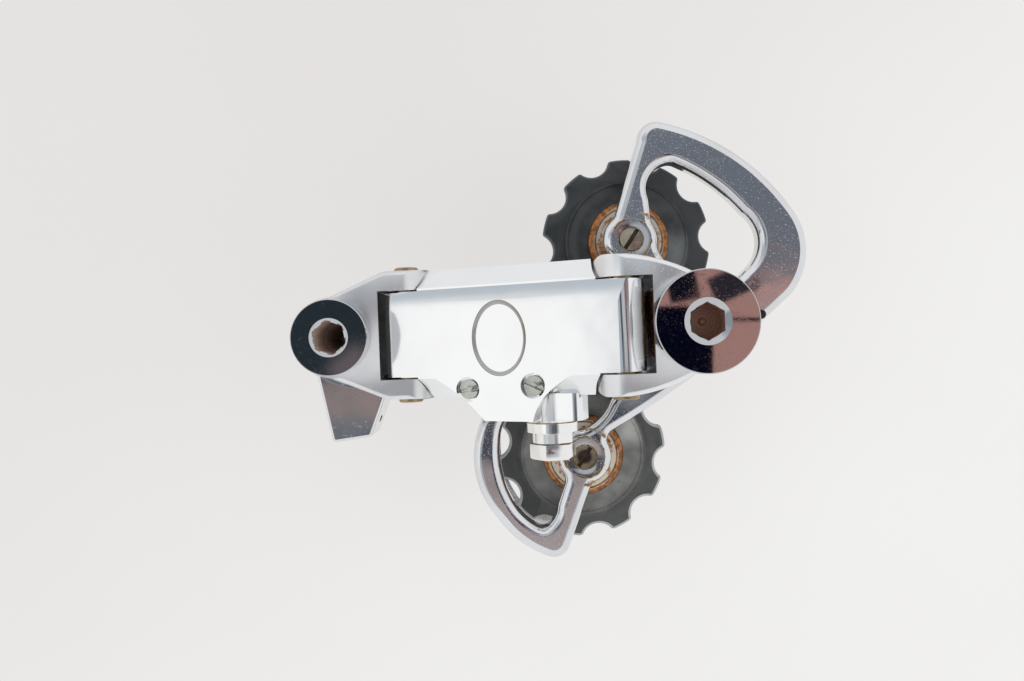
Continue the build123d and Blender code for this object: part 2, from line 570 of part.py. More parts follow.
# ---- Pivot bolt and cage spring -----------------------------------------------------------
PIVOT_HEAD_BOTTOM_Z = P_BARREL_TOP_Z + 0.2
PIVOT_THREAD_R = 4.0

with BuildPart() as pivot_bolt:
    add(turned([(0, PLATE_BOTTOM_Z), (PIVOT_THREAD_R - 0.3, PLATE_BOTTOM_Z),
                (PIVOT_THREAD_R, PLATE_BOTTOM_Z + 0.3), (PIVOT_THREAD_R, PLATE_TOP_Z),
                (PIVOT_SHANK_R, PLATE_TOP_Z), (PIVOT_SHANK_R, PIVOT_HEAD_BOTTOM_Z),
                (PIVOT_HEAD_R - 0.3, PIVOT_HEAD_BOTTOM_Z), (PIVOT_HEAD_R, PIVOT_HEAD_BOTTOM_Z + 0.3),
                (PIVOT_HEAD_R, PIVOT_HEAD_TOP_Z - HEAD_RIM), (PIVOT_HEAD_R - HEAD_RIM, PIVOT_HEAD_TOP_Z),
                (0, PIVOT_HEAD_TOP_Z)], P_AXIS_X))
    add(hex_socket(P_AXIS_X, PIVOT_HEAD_TOP_Z, 4.2, 4.8, 2.9, 4.2, 30, 0.7), mode=Mode.SUBTRACT)
save(pivot_bolt.part, "pivot_bolt")

with BuildPart() as cage_spring:
    coil, wire = coil_spring(CAGE_COIL_R, CAGE_WIRE_R, CAGE_COIL_Z[1] - CAGE_COIL_Z[0], CAGE_COIL_TURNS)
    add(coil)
    add(upright_leg(wire @ 0, Vector(0, 0, -1), CAGE_COIL_Z[0] - PLATE_TOP_Z + 2.0, CAGE_WIRE_R))
    add(upright_leg(wire @ 1, Vector(0, 0, 1), 3.0, CAGE_WIRE_R))
cage_coil_place = Location((P_AXIS_X, 0, CAGE_COIL_Z[0]), (0, 0, CAGE_COIL_START))
save(cage_coil_place * cage_spring.part, "cage_spring")


# ---- Cage plates --------------------------------------------------------------------------
GENTLE_TURN = 25            # degrees; a corner that turns less gets the wide round
GENTLE_ROUND = 10.0
CORNER_ROUND = 2.2


def ease_corners(outline):
    """Round each corner of a flat outline, widely where it barely turns but within half its arcs' radius."""
    for place in [Vector(corner.X, corner.Y, corner.Z) for corner in outline.vertices()]:
        corner = outline.vertices().sort_by_distance(place)[0]
        meeting = [edge for edge in outline.edges()
                   if min((edge @ 0 - place).length, (edge @ 1 - place).length) < 1e-4]
        leaving = [edge % 0 if (edge @ 0 - place).length < 1e-4 else -(edge % 1) for edge in meeting]
        turn = 180 - leaving[0].get_angle(leaving[1])
        if turn < 0.4:
            continue
        arc_radii = [edge.radius for edge in meeting if edge.geom_type == GeomType.CIRCLE]
        wide_round = min([GENTLE_ROUND] + [radius / 2 for radius in arc_radii])
        outline = outline.fillet_2d(wide_round if turn < GENTLE_TURN else CORNER_ROUND, [corner])
    return outline


HUB_R = 10.0                # plate boss round the pivot bolt
SPOT_FACE_R = 4.4
PLATE_ROUND = 1.9           # rounding of the plate's front edges
PULLEYS = (UPPER_PULLEY, LOWER_PULLEY)


def lower_loop_line():
    """The outer edge of the lower loop, from the foot of its stem round to the hub."""
    with BuildLine() as edge:
        Line((52.4, -33.9), (46.9, -47.6))
        ThreePointArc((46.9, -47.6), (44.9, -49.7), (42.0, -49.7))
        ThreePointArc((42.0, -49.7), (36.0, -46.2), (31.2, -40.8))
        ThreePointArc((31.2, -40.8), (26.5, -28.5), (28.8, -18.7))
    return edge.line


def outer_plate_outline():
    """The outer plate seen from the front, with its two openings."""
    with BuildSketch(Plane.XY.offset(PLATE_BOTTOM_Z)) as outline:
        with BuildLine():
            # Upper loop, clockwise from the upper pulley's boss.
            Line((58.6, 17.9), (58.5, 21.1))
            Line((58.5, 21.1), (65.2, 40.8))
            ThreePointArc((65.2, 40.8), (66.8, 44.0), (70.2, 44.8))
            ThreePointArc((70.2, 44.8), (86.3, 37.4), (98.4, 25.0))
            ThreePointArc((98.4, 25.0), (101.4, 14.2), (97.6, 5.5))
            Line((97.6, 5.5), (91.4, 0.3))
            ThreePointArc((91.4, 0.3), (75.2, -11.7), (55.0, -24.0))
            Line((55.0, -24.0), (52.4, -33.9))
            add(lower_loop_line())
            ThreePointArc((28.8, -18.7), (43.0, -4.0), (60.5, 8.0))
            Line((60.5, 8.0), (58.6, 17.9))
        make_face()
        # Upper opening.
        with BuildLine():
            ThreePointArc((67.2, 28.0), (69.3, 34.6), (72.6, 35.5))
            ThreePointArc((72.6, 35.5), (80.6, 30.8), (87.6, 24.0))
            ThreePointArc((87.6, 24.0), (90.8, 17.5), (87.6, 11.4))
            ThreePointArc((87.6, 11.4), (82.5, 8.3), (76.5, 9.0))
            ThreePointArc((76.5, 9.0), (70.8, 13.5), (68.0, 20.0))
            Line((68.0, 20.0), (67.2, 28.0))
        make_face(mode=Mode.SUBTRACT)
        # Lower opening, between the loop and the arm to the lower pulley.
        with BuildLine():
            ThreePointArc((33.3, -20.1), (32.3, -28.0), (35.5, -38.3))
            ThreePointArc((35.5, -38.3), (38.4, -41.6), (41.4, -43.4))
            ThreePointArc((41.4, -43.4), (43.6, -41.6), (44.6, -38.6))
            Line((44.6, -38.6), (48.0, -29.0))
            Line((48.0, -29.0), (49.8, -22.4))
            ThreePointArc((49.8, -22.4), (53.6, -20.6), (57.0, -16.0))
            ThreePointArc((57.0, -16.0), (60.2, -9.0), (59.0, -1.0))
            ThreePointArc((59.0, -1.0), (44.0, -8.6), (33.3, -20.1))
        make_face(mode=Mode.SUBTRACT)
        with Locations(*PULLEYS):
            Circle(BOSS_R)
        with Locations((P_AXIS_X, 0)):
            Circle(HUB_R)
    return ease_corners(outline.sketch.face())


with BuildPart() as outer_cage_plate:
    extrude(outer_plate_outline(), amount=PLATE_THICK, dir=(0, 0, 1))
    fillet(outer_cage_plate.faces().sort_by(Axis.Z)[-1].edges(), PLATE_ROUND)
    with BuildSketch(Plane.XY.offset(PLATE_BOTTOM_Z)):
        with Locations(*PULLEYS):
            Circle(PIN_R)
        with Locations((P_AXIS_X, 0)):
            Circle(PIVOT_THREAD_R)
        with Locations(STOP_PIN):
            Circle(STOP_PIN_R)
        with Locations(cage_coil_place * Location((CAGE_COIL_R, 0, 0))):
            Circle(CAGE_WIRE_R + 0.1)
    extrude(amount=PLATE_THICK, mode=Mode.SUBTRACT)
    with BuildSketch(Plane.XY.offset(PLATE_TOP_Z - 0.4)):
        with Locations(*PULLEYS):
            Circle(SPOT_FACE_R)
    extrude(amount=1, mode=Mode.SUBTRACT)
save(outer_cage_plate.part, "outer_cage_plate")

with BuildPart() as inner_cage_plate:
    with BuildSketch(Plane.XY.offset(INNER_PLATE_BOTTOM_Z)):
        with BuildLine():
            Line((57.0, 20.0), (60.5, 24.5))
            Line((60.5, 24.5), (68.4, 17.0))
            ThreePointArc((68.4, 17.0), (64.0, -4.0), (56.4, -26.0))
            Line((56.4, -26.0), (52.4, -33.9))
            add(lower_loop_line())
            ThreePointArc((28.8, -18.7), (41.0, -1.0), (57.0, 20.0))
        make_face()
        with BuildLine():
            ThreePointArc((33.3, -20.1), (32.3, -28.0), (35.5, -38.3))
            ThreePointArc((35.5, -38.3), (38.4, -41.6), (41.4, -43.4))
            ThreePointArc((41.4, -43.4), (43.6, -41.6), (44.6, -38.6))
            Line((44.6, -38.6), (48.0, -29.0))
            ThreePointArc((48.0, -29.0), (56.0, -8.0), (59.0, 12.0))
            ThreePointArc((59.0, 12.0), (44.0, -3.6), (33.3, -20.1))
        make_face(mode=Mode.SUBTRACT)
        with Locations(*PULLEYS):
            Circle(BOSS_R)
            Circle(PIN_R, mode=Mode.SUBTRACT)
    extrude(amount=INNER_PLATE_THICK)
save(inner_cage_plate.part, "inner_cage_plate")

with BuildPart() as cage_stop_pin:
    with BuildSketch(Plane.XY.offset(PLATE_BOTTOM_Z + 0.2)):
        with Locations(STOP_PIN):
            Circle(STOP_PIN_R)
    extrude(amount=PLATE_THICK + 2.3)
    chamfer(cage_stop_pin.faces().sort_by(Axis.Z)[-1].edges(), 0.25)
save(cage_stop_pin.part, "cage_stop_pin")


# ---- Pulleys, with their bushes, dust caps and bolts --------------------------------------
BUSH_R = 4.2
HUB_CORE_R = 6.6
HUB_WIDTH = 7.8
CAP_R = 9.0
CAP_FLAT_R = 7.9
CAP_THICK = 0.8
CAP_DEPTH = 2.5
PULLEY_BOLT_HEAD_R = 3.8
PULLEY_BOLT_TOP_Z = (PLATE_TOP_Z - 0.1, PLATE_TOP_Z - 1.0)


def pulley_form(centre, phase):
    """A toothed wheel: thin rim with round chain seats, thicker web, and a hub that turns on its bush."""
    with BuildPart() as wheel:
        with BuildSketch(Plane.XY.offset(PULLEY_MID_Z - RIM_THICK / 2)):
            with Locations(centre):
                Circle(PULLEY_TIP_R)
                with PolarLocations(ROLLER_CIRCLE_R, TEETH, start_angle=phase):
                    Circle(ROLLER_SEAT_R, mode=Mode.SUBTRACT)
        extrude(amount=RIM_THICK)
        for radius, width in ((WEB_R, WEB_THICK), (HUB_CORE_R, HUB_WIDTH)):
            with BuildSketch(Plane.XY.offset(PULLEY_MID_Z - width / 2)):
                with Locations(centre):
                    Circle(radius)
            extrude(amount=width)
        with BuildSketch(Plane.XY.offset(PULLEY_MID_Z - HUB_WIDTH / 2)):
            with Locations(centre):
                Circle(BUSH_R + RUNNING_GAP)
        extrude(amount=HUB_WIDTH, mode=Mode.SUBTRACT)
    return wheel.part


def dust_cap(centre, side):
    """A pressed steel cap: flat against the plate, with a skirt that hangs over the hub."""
    outer = CAGE_GAP / 2
    with BuildPart() as cap:
        with BuildSketch(Plane.XZ):
            with BuildLine():
                Polyline((PIN_R + 0.05, outer - CAP_THICK), (PIN_R + 0.05, outer), (CAP_FLAT_R, outer),
                         (CAP_R, outer - 1.0), (CAP_R, outer - CAP_DEPTH),
                         (CAP_R - CAP_THICK, outer - CAP_DEPTH),
                         (CAP_R - CAP_THICK, outer - 1.3), (CAP_FLAT_R - 0.4, outer - CAP_THICK), close=True)
            make_face()
        revolve(axis=Axis.Z)
        if side < 0:
            mirror(about=Plane.XY, mode=Mode.REPLACE)
    return cap.part.moved(Location((centre[0], centre[1], PULLEY_MID_Z)))


for which, centre, phase, bolt_top in (("upper", UPPER_PULLEY, UPPER_PHASE, PULLEY_BOLT_TOP_Z[0]),
                                       ("lower", LOWER_PULLEY, LOWER_PHASE, PULLEY_BOLT_TOP_Z[1])):
    save(pulley_form(centre, phase), f"{which}_pulley")
    with BuildPart() as bush:
        with BuildSketch(Plane.XY.offset(INNER_PLATE_TOP_Z + CAP_THICK)):
            with Locations(centre):
                Circle(BUSH_R)
                Circle(PIN_R + 0.05, mode=Mode.SUBTRACT)
        extrude(amount=CAGE_GAP - 2 * CAP_THICK)
    save(bush.part, f"{which}_pulley_bush")
    for face, side in (("outer", 1), ("inner", -1)):
        save(dust_cap(centre, side), f"{which}_pulley_{face}_cap")
    with BuildPart() as pulley_bolt:
        with BuildSketch(Plane.XY.offset(BENCH_Z)):
            with Locations(centre):
                Circle(PULLEY_BOLT_HEAD_R)
        extrude(amount=INNER_PLATE_BOTTOM_Z - BENCH_Z)
        chamfer(pulley_bolt.faces().sort_by(Axis.Z)[0].edges(), 0.3)
        with BuildSketch(Plane.XY.offset(INNER_PLATE_BOTTOM_Z)):
            with Locations(centre):
                Circle(PIN_R - 0.02)
        extrude(amount=bolt_top - INNER_PLATE_BOTTOM_Z)
        for slot_z, depth in ((BENCH_Z, 0.9), (bolt_top, -0.6)):
            with BuildSketch(Plane.XY.offset(slot_z)):
                with Locations(Location((centre[0], centre[1], 0), (0, 0, 55))):
                    Rectangle(2 * PULLEY_BOLT_HEAD_R + 1, 0.9)
            extrude(amount=depth, mode=Mode.SUBTRACT)
    save(pulley_bolt.part, f"{which}_pulley_bolt")
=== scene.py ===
"""Rear bicycle derailleur over a pale bench: finishes, worn detail, studio light and camera.

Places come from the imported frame. Lengths are in metres, and MM turns millimetres into them.
"""
import json
import math

import bmesh
import bpy
from mathutils import Matrix, Vector


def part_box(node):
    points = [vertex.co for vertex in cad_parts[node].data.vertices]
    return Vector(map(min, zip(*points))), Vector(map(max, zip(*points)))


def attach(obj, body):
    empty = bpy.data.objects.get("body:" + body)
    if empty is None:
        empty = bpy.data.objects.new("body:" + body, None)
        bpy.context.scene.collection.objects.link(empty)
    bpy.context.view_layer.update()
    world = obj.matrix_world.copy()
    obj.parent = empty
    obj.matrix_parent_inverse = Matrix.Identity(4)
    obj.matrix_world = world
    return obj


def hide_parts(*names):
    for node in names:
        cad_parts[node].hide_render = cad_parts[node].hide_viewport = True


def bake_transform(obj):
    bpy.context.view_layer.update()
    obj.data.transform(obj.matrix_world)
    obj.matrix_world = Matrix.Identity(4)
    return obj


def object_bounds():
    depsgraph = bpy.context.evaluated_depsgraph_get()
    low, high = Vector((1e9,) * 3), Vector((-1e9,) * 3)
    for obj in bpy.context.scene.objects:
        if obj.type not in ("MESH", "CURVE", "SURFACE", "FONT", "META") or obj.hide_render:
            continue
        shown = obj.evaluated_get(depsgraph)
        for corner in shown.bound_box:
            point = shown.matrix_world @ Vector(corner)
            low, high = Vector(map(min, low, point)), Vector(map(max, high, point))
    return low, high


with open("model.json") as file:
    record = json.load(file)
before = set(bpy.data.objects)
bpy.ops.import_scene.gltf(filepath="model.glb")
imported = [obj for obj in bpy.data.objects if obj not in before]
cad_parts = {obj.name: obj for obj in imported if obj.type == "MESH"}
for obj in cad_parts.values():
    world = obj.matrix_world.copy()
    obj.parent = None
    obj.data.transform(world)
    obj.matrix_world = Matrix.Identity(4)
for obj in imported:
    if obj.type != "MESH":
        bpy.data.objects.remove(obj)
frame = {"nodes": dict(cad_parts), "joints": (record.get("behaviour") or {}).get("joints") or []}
cad_box = [list(corner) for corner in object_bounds()]
nodes = frame["nodes"]
scene = bpy.context.scene

MM = 0.001
UP = Vector((0, 0, 1))
JOINTS = {joint["name"]: Vector(joint["pos_m"]) for joint in frame["joints"]}
HANGER_AXIS = JOINTS["hanger_pivot"]
B_PIN = JOINTS["link_swing"]
P_PIN = JOINTS["lower_knuckle_swing"]
CAGE_AXIS = JOINTS["cage_swing"]
UPPER_WHEEL = JOINTS["upper_pulley_spin"]
LOWER_WHEEL = JOINTS["lower_pulley_spin"]

# The bench stays clear of the cage, which comes down by this many millimetres as the links swing.
LINK_DROP = 31.7
BENCH_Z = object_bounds()[0][2] - LINK_DROP * MM

# The outer link's own axes: along its pins, across it, and out of its face.
LINK_ALONG = (P_PIN - B_PIN).normalized()
LINK_ACROSS = Vector((0, 1, 0))
LINK_OUT = LINK_ALONG.cross(LINK_ACROSS)
LINK_FACE = 4.1        # how far the link's face stands out from its pins' axes, in millimetres


def on_link(along, across, out=0.0):
    """A place on the outer link, in millimetres from its first pin and from the line of its pins."""
    return B_PIN + MM * (along * LINK_ALONG + across * LINK_ACROSS + out * LINK_OUT)


# ---- Node helpers ------------------------------------------------------------------------
def plug(tree, socket, value):
    """Gives an input a value, or links it to another node's output."""
    if isinstance(value, bpy.types.NodeSocket):
        tree.links.new(value, socket)
    else:
        socket.default_value = value


def add_node(tree, kind, inputs=(), **settings):
    """A node of one kind with its settings, and its inputs linked or given values."""
    node = tree.nodes.new(kind)
    for name, value in settings.items():
        setattr(node, name, value)
    for name, value in dict(inputs).items():
        plug(tree, node.inputs[name], value)
    return node


def math_node(tree, operation, *values):
    """A math node over sockets or numbers."""
    return add_node(tree, "ShaderNodeMath", enumerate(values), operation=operation).outputs[0]


def vector_node(tree, operation, *values):
    """A vector math node over sockets or vectors."""
    return add_node(tree, "ShaderNodeVectorMath", enumerate(values), operation=operation)


def ramp(tree, factor, first, last):
    """Grey levels over a factor, between two stops that each give a place and a level."""
    node = add_node(tree, "ShaderNodeValToRGB", {"Fac": factor})
    for element, (place, level) in zip(node.color_ramp.elements, (first, last)):
        element.position = place
        element.color = (level, level, level, 1)
    return node.outputs["Color"]


def fall_off(tree, value, start, end):
    """One below start, nothing above end, smooth between them."""
    inputs = {"Value": value, "From Min": start, "From Max": end, "To Min": 1.0, "To Max": 0.0}
    return add_node(tree, "ShaderNodeMapRange", inputs, interpolation_type="SMOOTHSTEP").outputs[0]


def blend_colour(tree, factor, base, over):
    """Colour `over` laid on colour `base` by a factor."""
    node = add_node(tree, "ShaderNodeMix", data_type="RGBA")
    for index, value in ((0, factor), (6, base), (7, over)):
        is_colour = index and not isinstance(value, bpy.types.NodeSocket)
        plug(tree, node.inputs[index], (*value, 1) if is_colour else value)
    return node.outputs[2]


def noise(tree, place, scale, detail):
    """The grey level of a noise of one scale, in features a metre."""
    inputs = {"Vector": place, "Scale": scale, "Detail": detail}
    return add_node(tree, "ShaderNodeTexNoise", inputs).outputs["Fac"]


# ---- Shared effects ----------------------------------------------------------------------
def new_group(name, inputs, outputs):
    """An empty shader group with named inputs and float outputs, and the place it is read at."""
    group = bpy.data.node_groups.new(name, "ShaderNodeTree")
    for label, kind, value in inputs:
        socket = group.interface.new_socket(name=label, in_out="INPUT", socket_type=f"NodeSocket{kind}")
        socket.default_value = value
    for label in outputs:
        group.interface.new_socket(name=label, in_out="OUTPUT", socket_type="NodeSocketFloat")
    given = group.nodes.new("NodeGroupInput")
    result = group.nodes.new("NodeGroupOutput")
    place = add_node(group, "ShaderNodeTexCoord").outputs["Object"]
    return group, given.outputs, result.inputs, place


# Each set of scratches has its turn in radians, and how far it is stretched along them.
SCRATCH_SETS = ((0.35, 0.09), (1.30, 0.12), (2.45, 0.08))


def make_handling_wear():
    """Fine scratches and small pits of handled metal, as masks and a height."""
    group, given, result, place = new_group(
        "handling_wear",
        [("Scratch Scale", "Float", 2600.0), ("Pit Scale", "Float", 1800.0), ("Pit Share", "Float", 0.3)],
        ["Scratches", "Pits", "Height"])
    scratches = None
    for turn, stretch in SCRATCH_SETS:
        inputs = {"Vector": place, "Rotation": (0.2, 0.1, turn), "Scale": (stretch, 1.0, 1.0)}
        turned = add_node(group, "ShaderNodeMapping", inputs).outputs[0]
        streaks = noise(group, turned, given["Scratch Scale"], 2.0)
        lines = ramp(group, streaks, (0.69, 0.0), (0.80, 0.6))
        scratches = lines if scratches is None else math_node(group, "MAXIMUM", scratches, lines)
    pits = ramp(group, noise(group, place, given["Pit Scale"], 3.0), (0.58, 0.0), (0.74, 1.0))
    pits = math_node(group, "MULTIPLY", pits, given["Pit Share"])
    depth = math_node(group, "MULTIPLY", math_node(group, "MAXIMUM", scratches, pits), -1.0)
    for label, value in (("Scratches", scratches), ("Pits", pits), ("Height", depth)):
        plug(group, result[label], value)
    return group


def from_axis(group, place, centre):
    """The distance of a place from an upright axis through a centre."""
    offset = vector_node(group, "SUBTRACT", place, centre).outputs[0]
    flat = vector_node(group, "MULTIPLY", offset, (1, 1, 0)).outputs[0]
    return vector_node(group, "LENGTH", flat).outputs["Value"]


def make_ring_stain():
    """A stain round an upright axis: strongest at one radius, broken up by noise."""
    group, given, result, place = new_group(
        "ring_stain",
        [("Centre", "Vector", (0, 0, 0)), ("Radius", "Float", 6 * MM), ("Spread", "Float", 1.2 * MM),
         ("Ragged", "Float", 0.5), ("Solid", "Float", 2.2)],
        ["Mask"])
    away = math_node(group, "SUBTRACT", from_axis(group, place, given["Centre"]), given["Radius"])
    share = math_node(group, "DIVIDE", math_node(group, "ABSOLUTE", away), given["Spread"])
    near = math_node(group, "MULTIPLY", math_node(group, "SUBTRACT", 1.0, share), given["Solid"])
    coarse = math_node(group, "SUBTRACT", noise(group, place, 260.0, 2.0), 0.5)
    fine = math_node(group, "SUBTRACT", noise(group, place, 1300.0, 4.0), 0.5)
    patch = math_node(group, "ADD", math_node(group, "MULTIPLY", coarse, 1.6), fine)
    ragged = math_node(group, "MULTIPLY", math_node(group, "MULTIPLY", patch, given["Ragged"]), 4.0)
    total = add_node(group, "ShaderNodeClamp", {"Value": math_node(group, "ADD", near, ragged)})
    plug(group, result["Mask"], total.outputs[0])
    return group


def make_stain_and_painted_light_zone():
    """A mask inside a box, with a soft and ragged edge."""
    group, given, result, place = new_group(
        "stain_and_painted_light_zone",
        [("Centre", "Vector", (0, 0, 0)), ("Half Size", "Vector", (MM, MM, MM)), ("Soft", "Float", 0.3 * MM),
         ("Ragged", "Float", 0.5 * MM)],
        ["Mask"])
    offset = vector_node(group, "SUBTRACT", place, given["Centre"]).outputs[0]
    spread = vector_node(group, "ABSOLUTE", offset).outputs[0]
    outside = vector_node(group, "SUBTRACT", spread, given["Half Size"]).outputs[0]
    parts = add_node(group, "ShaderNodeSeparateXYZ", {"Vector": outside}).outputs
    away = math_node(group, "MAXIMUM", math_node(group, "MAXIMUM", parts[0], parts[1]), parts[2])
    patch = math_node(group, "SUBTRACT", noise(group, place, 520.0, 5.0), 0.5)
    away = math_node(group, "ADD", away, math_node(group, "MULTIPLY", patch, given["Ragged"]))
    start = math_node(group, "MULTIPLY", given["Soft"], -1.0)
    plug(group, result["Mask"], fall_off(group, away, start, given["Soft"]))
    return group


def make_turned_rings():
    """The fine rings that a lathe leaves round an upright axis, fading in and out."""
    group, given, result, place = new_group(
        "turned_rings",
        [("Centre", "Vector", (0, 0, 0)), ("Rings", "Float", 1200.0)],
        ["Height", "Mask"])
    offset = vector_node(group, "SUBTRACT", place, given["Centre"]).outputs[0]
    inputs = {"Vector": offset, "Scale": given["Rings"], "Distortion": 0.3}
    rings = add_node(group, "ShaderNodeTexWave", inputs, wave_type="RINGS",
                     rings_direction="Z").outputs["Fac"]
    worn = ramp(group, noise(group, place, 260.0, 2.0), (0.45, 0.0), (0.70, 1.0))
    plug(group, result["Height"], rings)
    plug(group, result["Mask"], math_node(group, "MULTIPLY", rings, worn))
    return group


def make_shallow_dome():
    """The height of a shallow dome round an axis, or of a dish when its rise is negative."""
    group, given, result, place = new_group(
        "shallow_dome",
        [("Centre", "Vector", (0, 0, 0)), ("Axis", "Vector", (0, 0, 1)), ("Reach", "Float", 2 * MM),
         ("Rise", "Float", 0.3 * MM)],
        ["Height"])
    offset = vector_node(group, "SUBTRACT", place, given["Centre"]).outputs[0]
    along = vector_node(group, "PROJECT", offset, given["Axis"]).outputs[0]
    aside = vector_node(group, "SUBTRACT", offset, along).outputs[0]
    share = math_node(group, "DIVIDE", vector_node(group, "LENGTH", aside).outputs["Value"], given["Reach"])
    curve = math_node(group, "SUBTRACT", 1.0, math_node(group, "MULTIPLY", share, share))
    inside = math_node(group, "MAXIMUM", curve, 0.0)
    faded = math_node(group, "MULTIPLY", inside, inside)
    plug(group, result["Height"], math_node(group, "MULTIPLY", faded, given["Rise"]))
    return group


HANDLING_WEAR = make_handling_wear()
RING_STAIN = make_ring_stain()
STAIN_AND_PAINTED_LIGHT_ZONE = make_stain_and_painted_light_zone()
TURNED_RINGS = make_turned_rings()
SHALLOW_DOME = make_shallow_dome()


def use_group(tree, group, **values):
    """Places a shared effect in a material with its own values, and gives its outputs."""
    inputs = {label.replace("_", " "): value for label, value in values.items()}
    node = tree.nodes.new("ShaderNodeGroup")
    node.node_tree = group
    for label, value in inputs.items():
        plug(tree, node.inputs[label], value)
    return node.outputs


def start_material(name, roughness, metallic=1.0):
    """A material, its node tree, its Principled shader and the object's own coordinates."""
    material = bpy.data.materials.new(name)
    material.use_nodes = True
    tree = material.node_tree
    shader = tree.nodes["Principled BSDF"]
    shader.inputs["Metallic"].default_value = metallic
    shader.inputs["Roughness"].default_value = roughness
    place = add_node(tree, "ShaderNodeTexCoord").outputs["Object"]
    return material, tree, shader, place


def finish_bump(tree, shader, height, strength, depth, curve=None):
    """Feeds a height to the shader's normal, over a broad curve in metres when one is given."""
    bump = add_node(tree, "ShaderNodeBump", {"Height": height, "Strength": strength, "Distance": depth})
    if curve is not None:
        broad = add_node(tree, "ShaderNodeBump", {"Height": curve, "Strength": 1.0, "Distance": 1.0})
        tree.links.new(broad.outputs[0], bump.inputs["Normal"])
    tree.links.new(bump.outputs[0], shader.inputs["Normal"])


RUST = (0.47, 0.18, 0.045)
RUST_DARK = (0.075, 0.03, 0.014)
# Dark red-brown grease, made darker still as painted shade of the recess it lies in.
GREASE_AND_SHADE = (0.060, 0.011, 0.005)
# Near-black painted shade, for the gap in the upper knuckle's clevis.
PAINTED_SHADE_BLACK = (0.010, 0.009, 0.009)


def ring(centre, radius, spread, ragged, colour=RUST, gloss=0.45, cover=0.85, solid=2.2, grain="flakes"):
    """A round stain about an upright axis: its place in millimetres, and what it does to the metal."""
    place = {"Centre": tuple(centre), "Radius": radius * MM, "Spread": spread * MM, "Ragged": ragged,
             "Solid": solid}
    return {"effect": RING_STAIN, "place": place, "colour": colour, "gloss": gloss, "cover": cover,
            "grain": grain}


def dome(centre, reach, rise, axis=UP):
    """A shallow dome, or a dish, of a part's face: its reach and its rise in millimetres."""
    return {"Centre": tuple(centre), "Axis": tuple(axis), "Reach": reach * MM, "Rise": rise * MM}


def zone(centre, half_size, soft, ragged, colour, gloss=0.3, cover=0.9, grain="flakes"):
    """A stain, painted highlight or painted shade inside a box: its half sizes in millimetres, and what it
    does to the metal.
    """
    place = {"Centre": tuple(centre), "Half_Size": tuple(MM * half for half in half_size),
             "Soft": soft * MM, "Ragged": ragged * MM}
    return {"effect": STAIN_AND_PAINTED_LIGHT_ZONE, "place": place, "colour": colour, "gloss": gloss, "cover": cover,
            "grain": grain}


DRILL_RINGS = 560.0      # rings that a drill leaves, against the finer ones of a lathe


def mark_colour(tree, place, mark):
    """The colour of a stain or of painted light or shade: plain, or broken by flakes or by the rings that a
    tool left under it.
    """
    colour = mark["colour"]
    if mark["grain"] == "plain":
        return colour
    if mark["grain"] == "rings":
        rings = use_group(tree, TURNED_RINGS, Centre=mark["place"]["Centre"], Rings=DRILL_RINGS)
        mottling = math_node(tree, "MULTIPLY", rings["Height"], 0.4)
    else:
        mottling = ramp(tree, noise(tree, place, 850.0, 5.0), (0.38, 0.0), (0.60, 0.9))
    return blend_colour(tree, mottling, colour, tuple(0.30 * level for level in colour))


FINE_DEPTH = 0.03 * MM     # how deep scratches and pits go


def metal(name, colour, roughness, tarnish, wear=0.1, stains_and_painted_light=(), specks=0.3, ripple=0.0, turned=None,
          cloudy=0.5, pit_scale=1800.0, dull=0.06, relief=0.10, domes=()):
    """A worn metal: tarnish, scratches, specks, polishing ripple, lathe rings about an axis, and stains,
    painted highlights and painted shade.

    `cloudy` is how much of the tarnish shows, `dull` how much it roughens, and `relief` how deep wear looks.
    """
    material, tree, shader, place = start_material(name, roughness)
    patches = ramp(tree, noise(tree, place, 95.0, 4.0), (0.40, 0.0), (0.68, 1.0))
    colour_now = blend_colour(tree, math_node(tree, "MULTIPLY", patches, cloudy), colour, tarnish)
    worn = use_group(tree, HANDLING_WEAR, Pit_Share=specks, Pit_Scale=pit_scale)
    rough = math_node(tree, "ADD", roughness, math_node(tree, "MULTIPLY", worn["Scratches"], wear))
    rough = math_node(tree, "ADD", rough, math_node(tree, "MULTIPLY", patches, dull))
    rough = math_node(tree, "ADD", rough, math_node(tree, "MULTIPLY", worn["Pits"], 0.55))
    height = worn["Height"]
    if ripple:
        wave = math_node(tree, "MULTIPLY", noise(tree, place, 170.0, 1.0), ripple)
        height = math_node(tree, "ADD", height, wave)
    if turned:
        rings = use_group(tree, TURNED_RINGS, Centre=tuple(turned))
        height = math_node(tree, "ADD", height, math_node(tree, "MULTIPLY", rings["Height"], 0.008))
        rough = math_node(tree, "ADD", rough, math_node(tree, "MULTIPLY", rings["Mask"], 0.03))
    metallic = 1.0
    for mark in stains_and_painted_light:
        mask = use_group(tree, mark["effect"], **mark["place"])["Mask"]
        if mark["colour"]:
            colour_now = blend_colour(tree, mask, colour_now, mark_colour(tree, place, mark))
        rough = math_node(tree, "ADD", rough, math_node(tree, "MULTIPLY", mask, mark["gloss"]))
        if mark["cover"]:
            bare = math_node(tree, "SUBTRACT", 1.0, math_node(tree, "MULTIPLY", mask, mark["cover"]))
            metallic = math_node(tree, "MULTIPLY", metallic, bare)
    curve = None
    for values in domes:
        rise = use_group(tree, SHALLOW_DOME, **values)["Height"]
        curve = rise if curve is None else math_node(tree, "ADD", curve, rise)
    plug(tree, shader.inputs["Base Color"], colour_now)
    plug(tree, shader.inputs["Roughness"], rough)
    plug(tree, shader.inputs["Metallic"], metallic)
    finish_bump(tree, shader, height, relief, FINE_DEPTH, curve)
    return material


# Where dust settles on a wheel, from its axis, and the half size of the painted sheen on one side of it.
WEB_MIDDLE_R = 10.6 * MM
WEB_REACH = 4.2 * MM
PAINTED_SHEEN_HALF = (2.6 * MM, 4.2 * MM, 9 * MM)
BROWN_FLECK = (0.12, 0.06, 0.02)
SCRATCHED = (0.2, 0.2, 0.2)


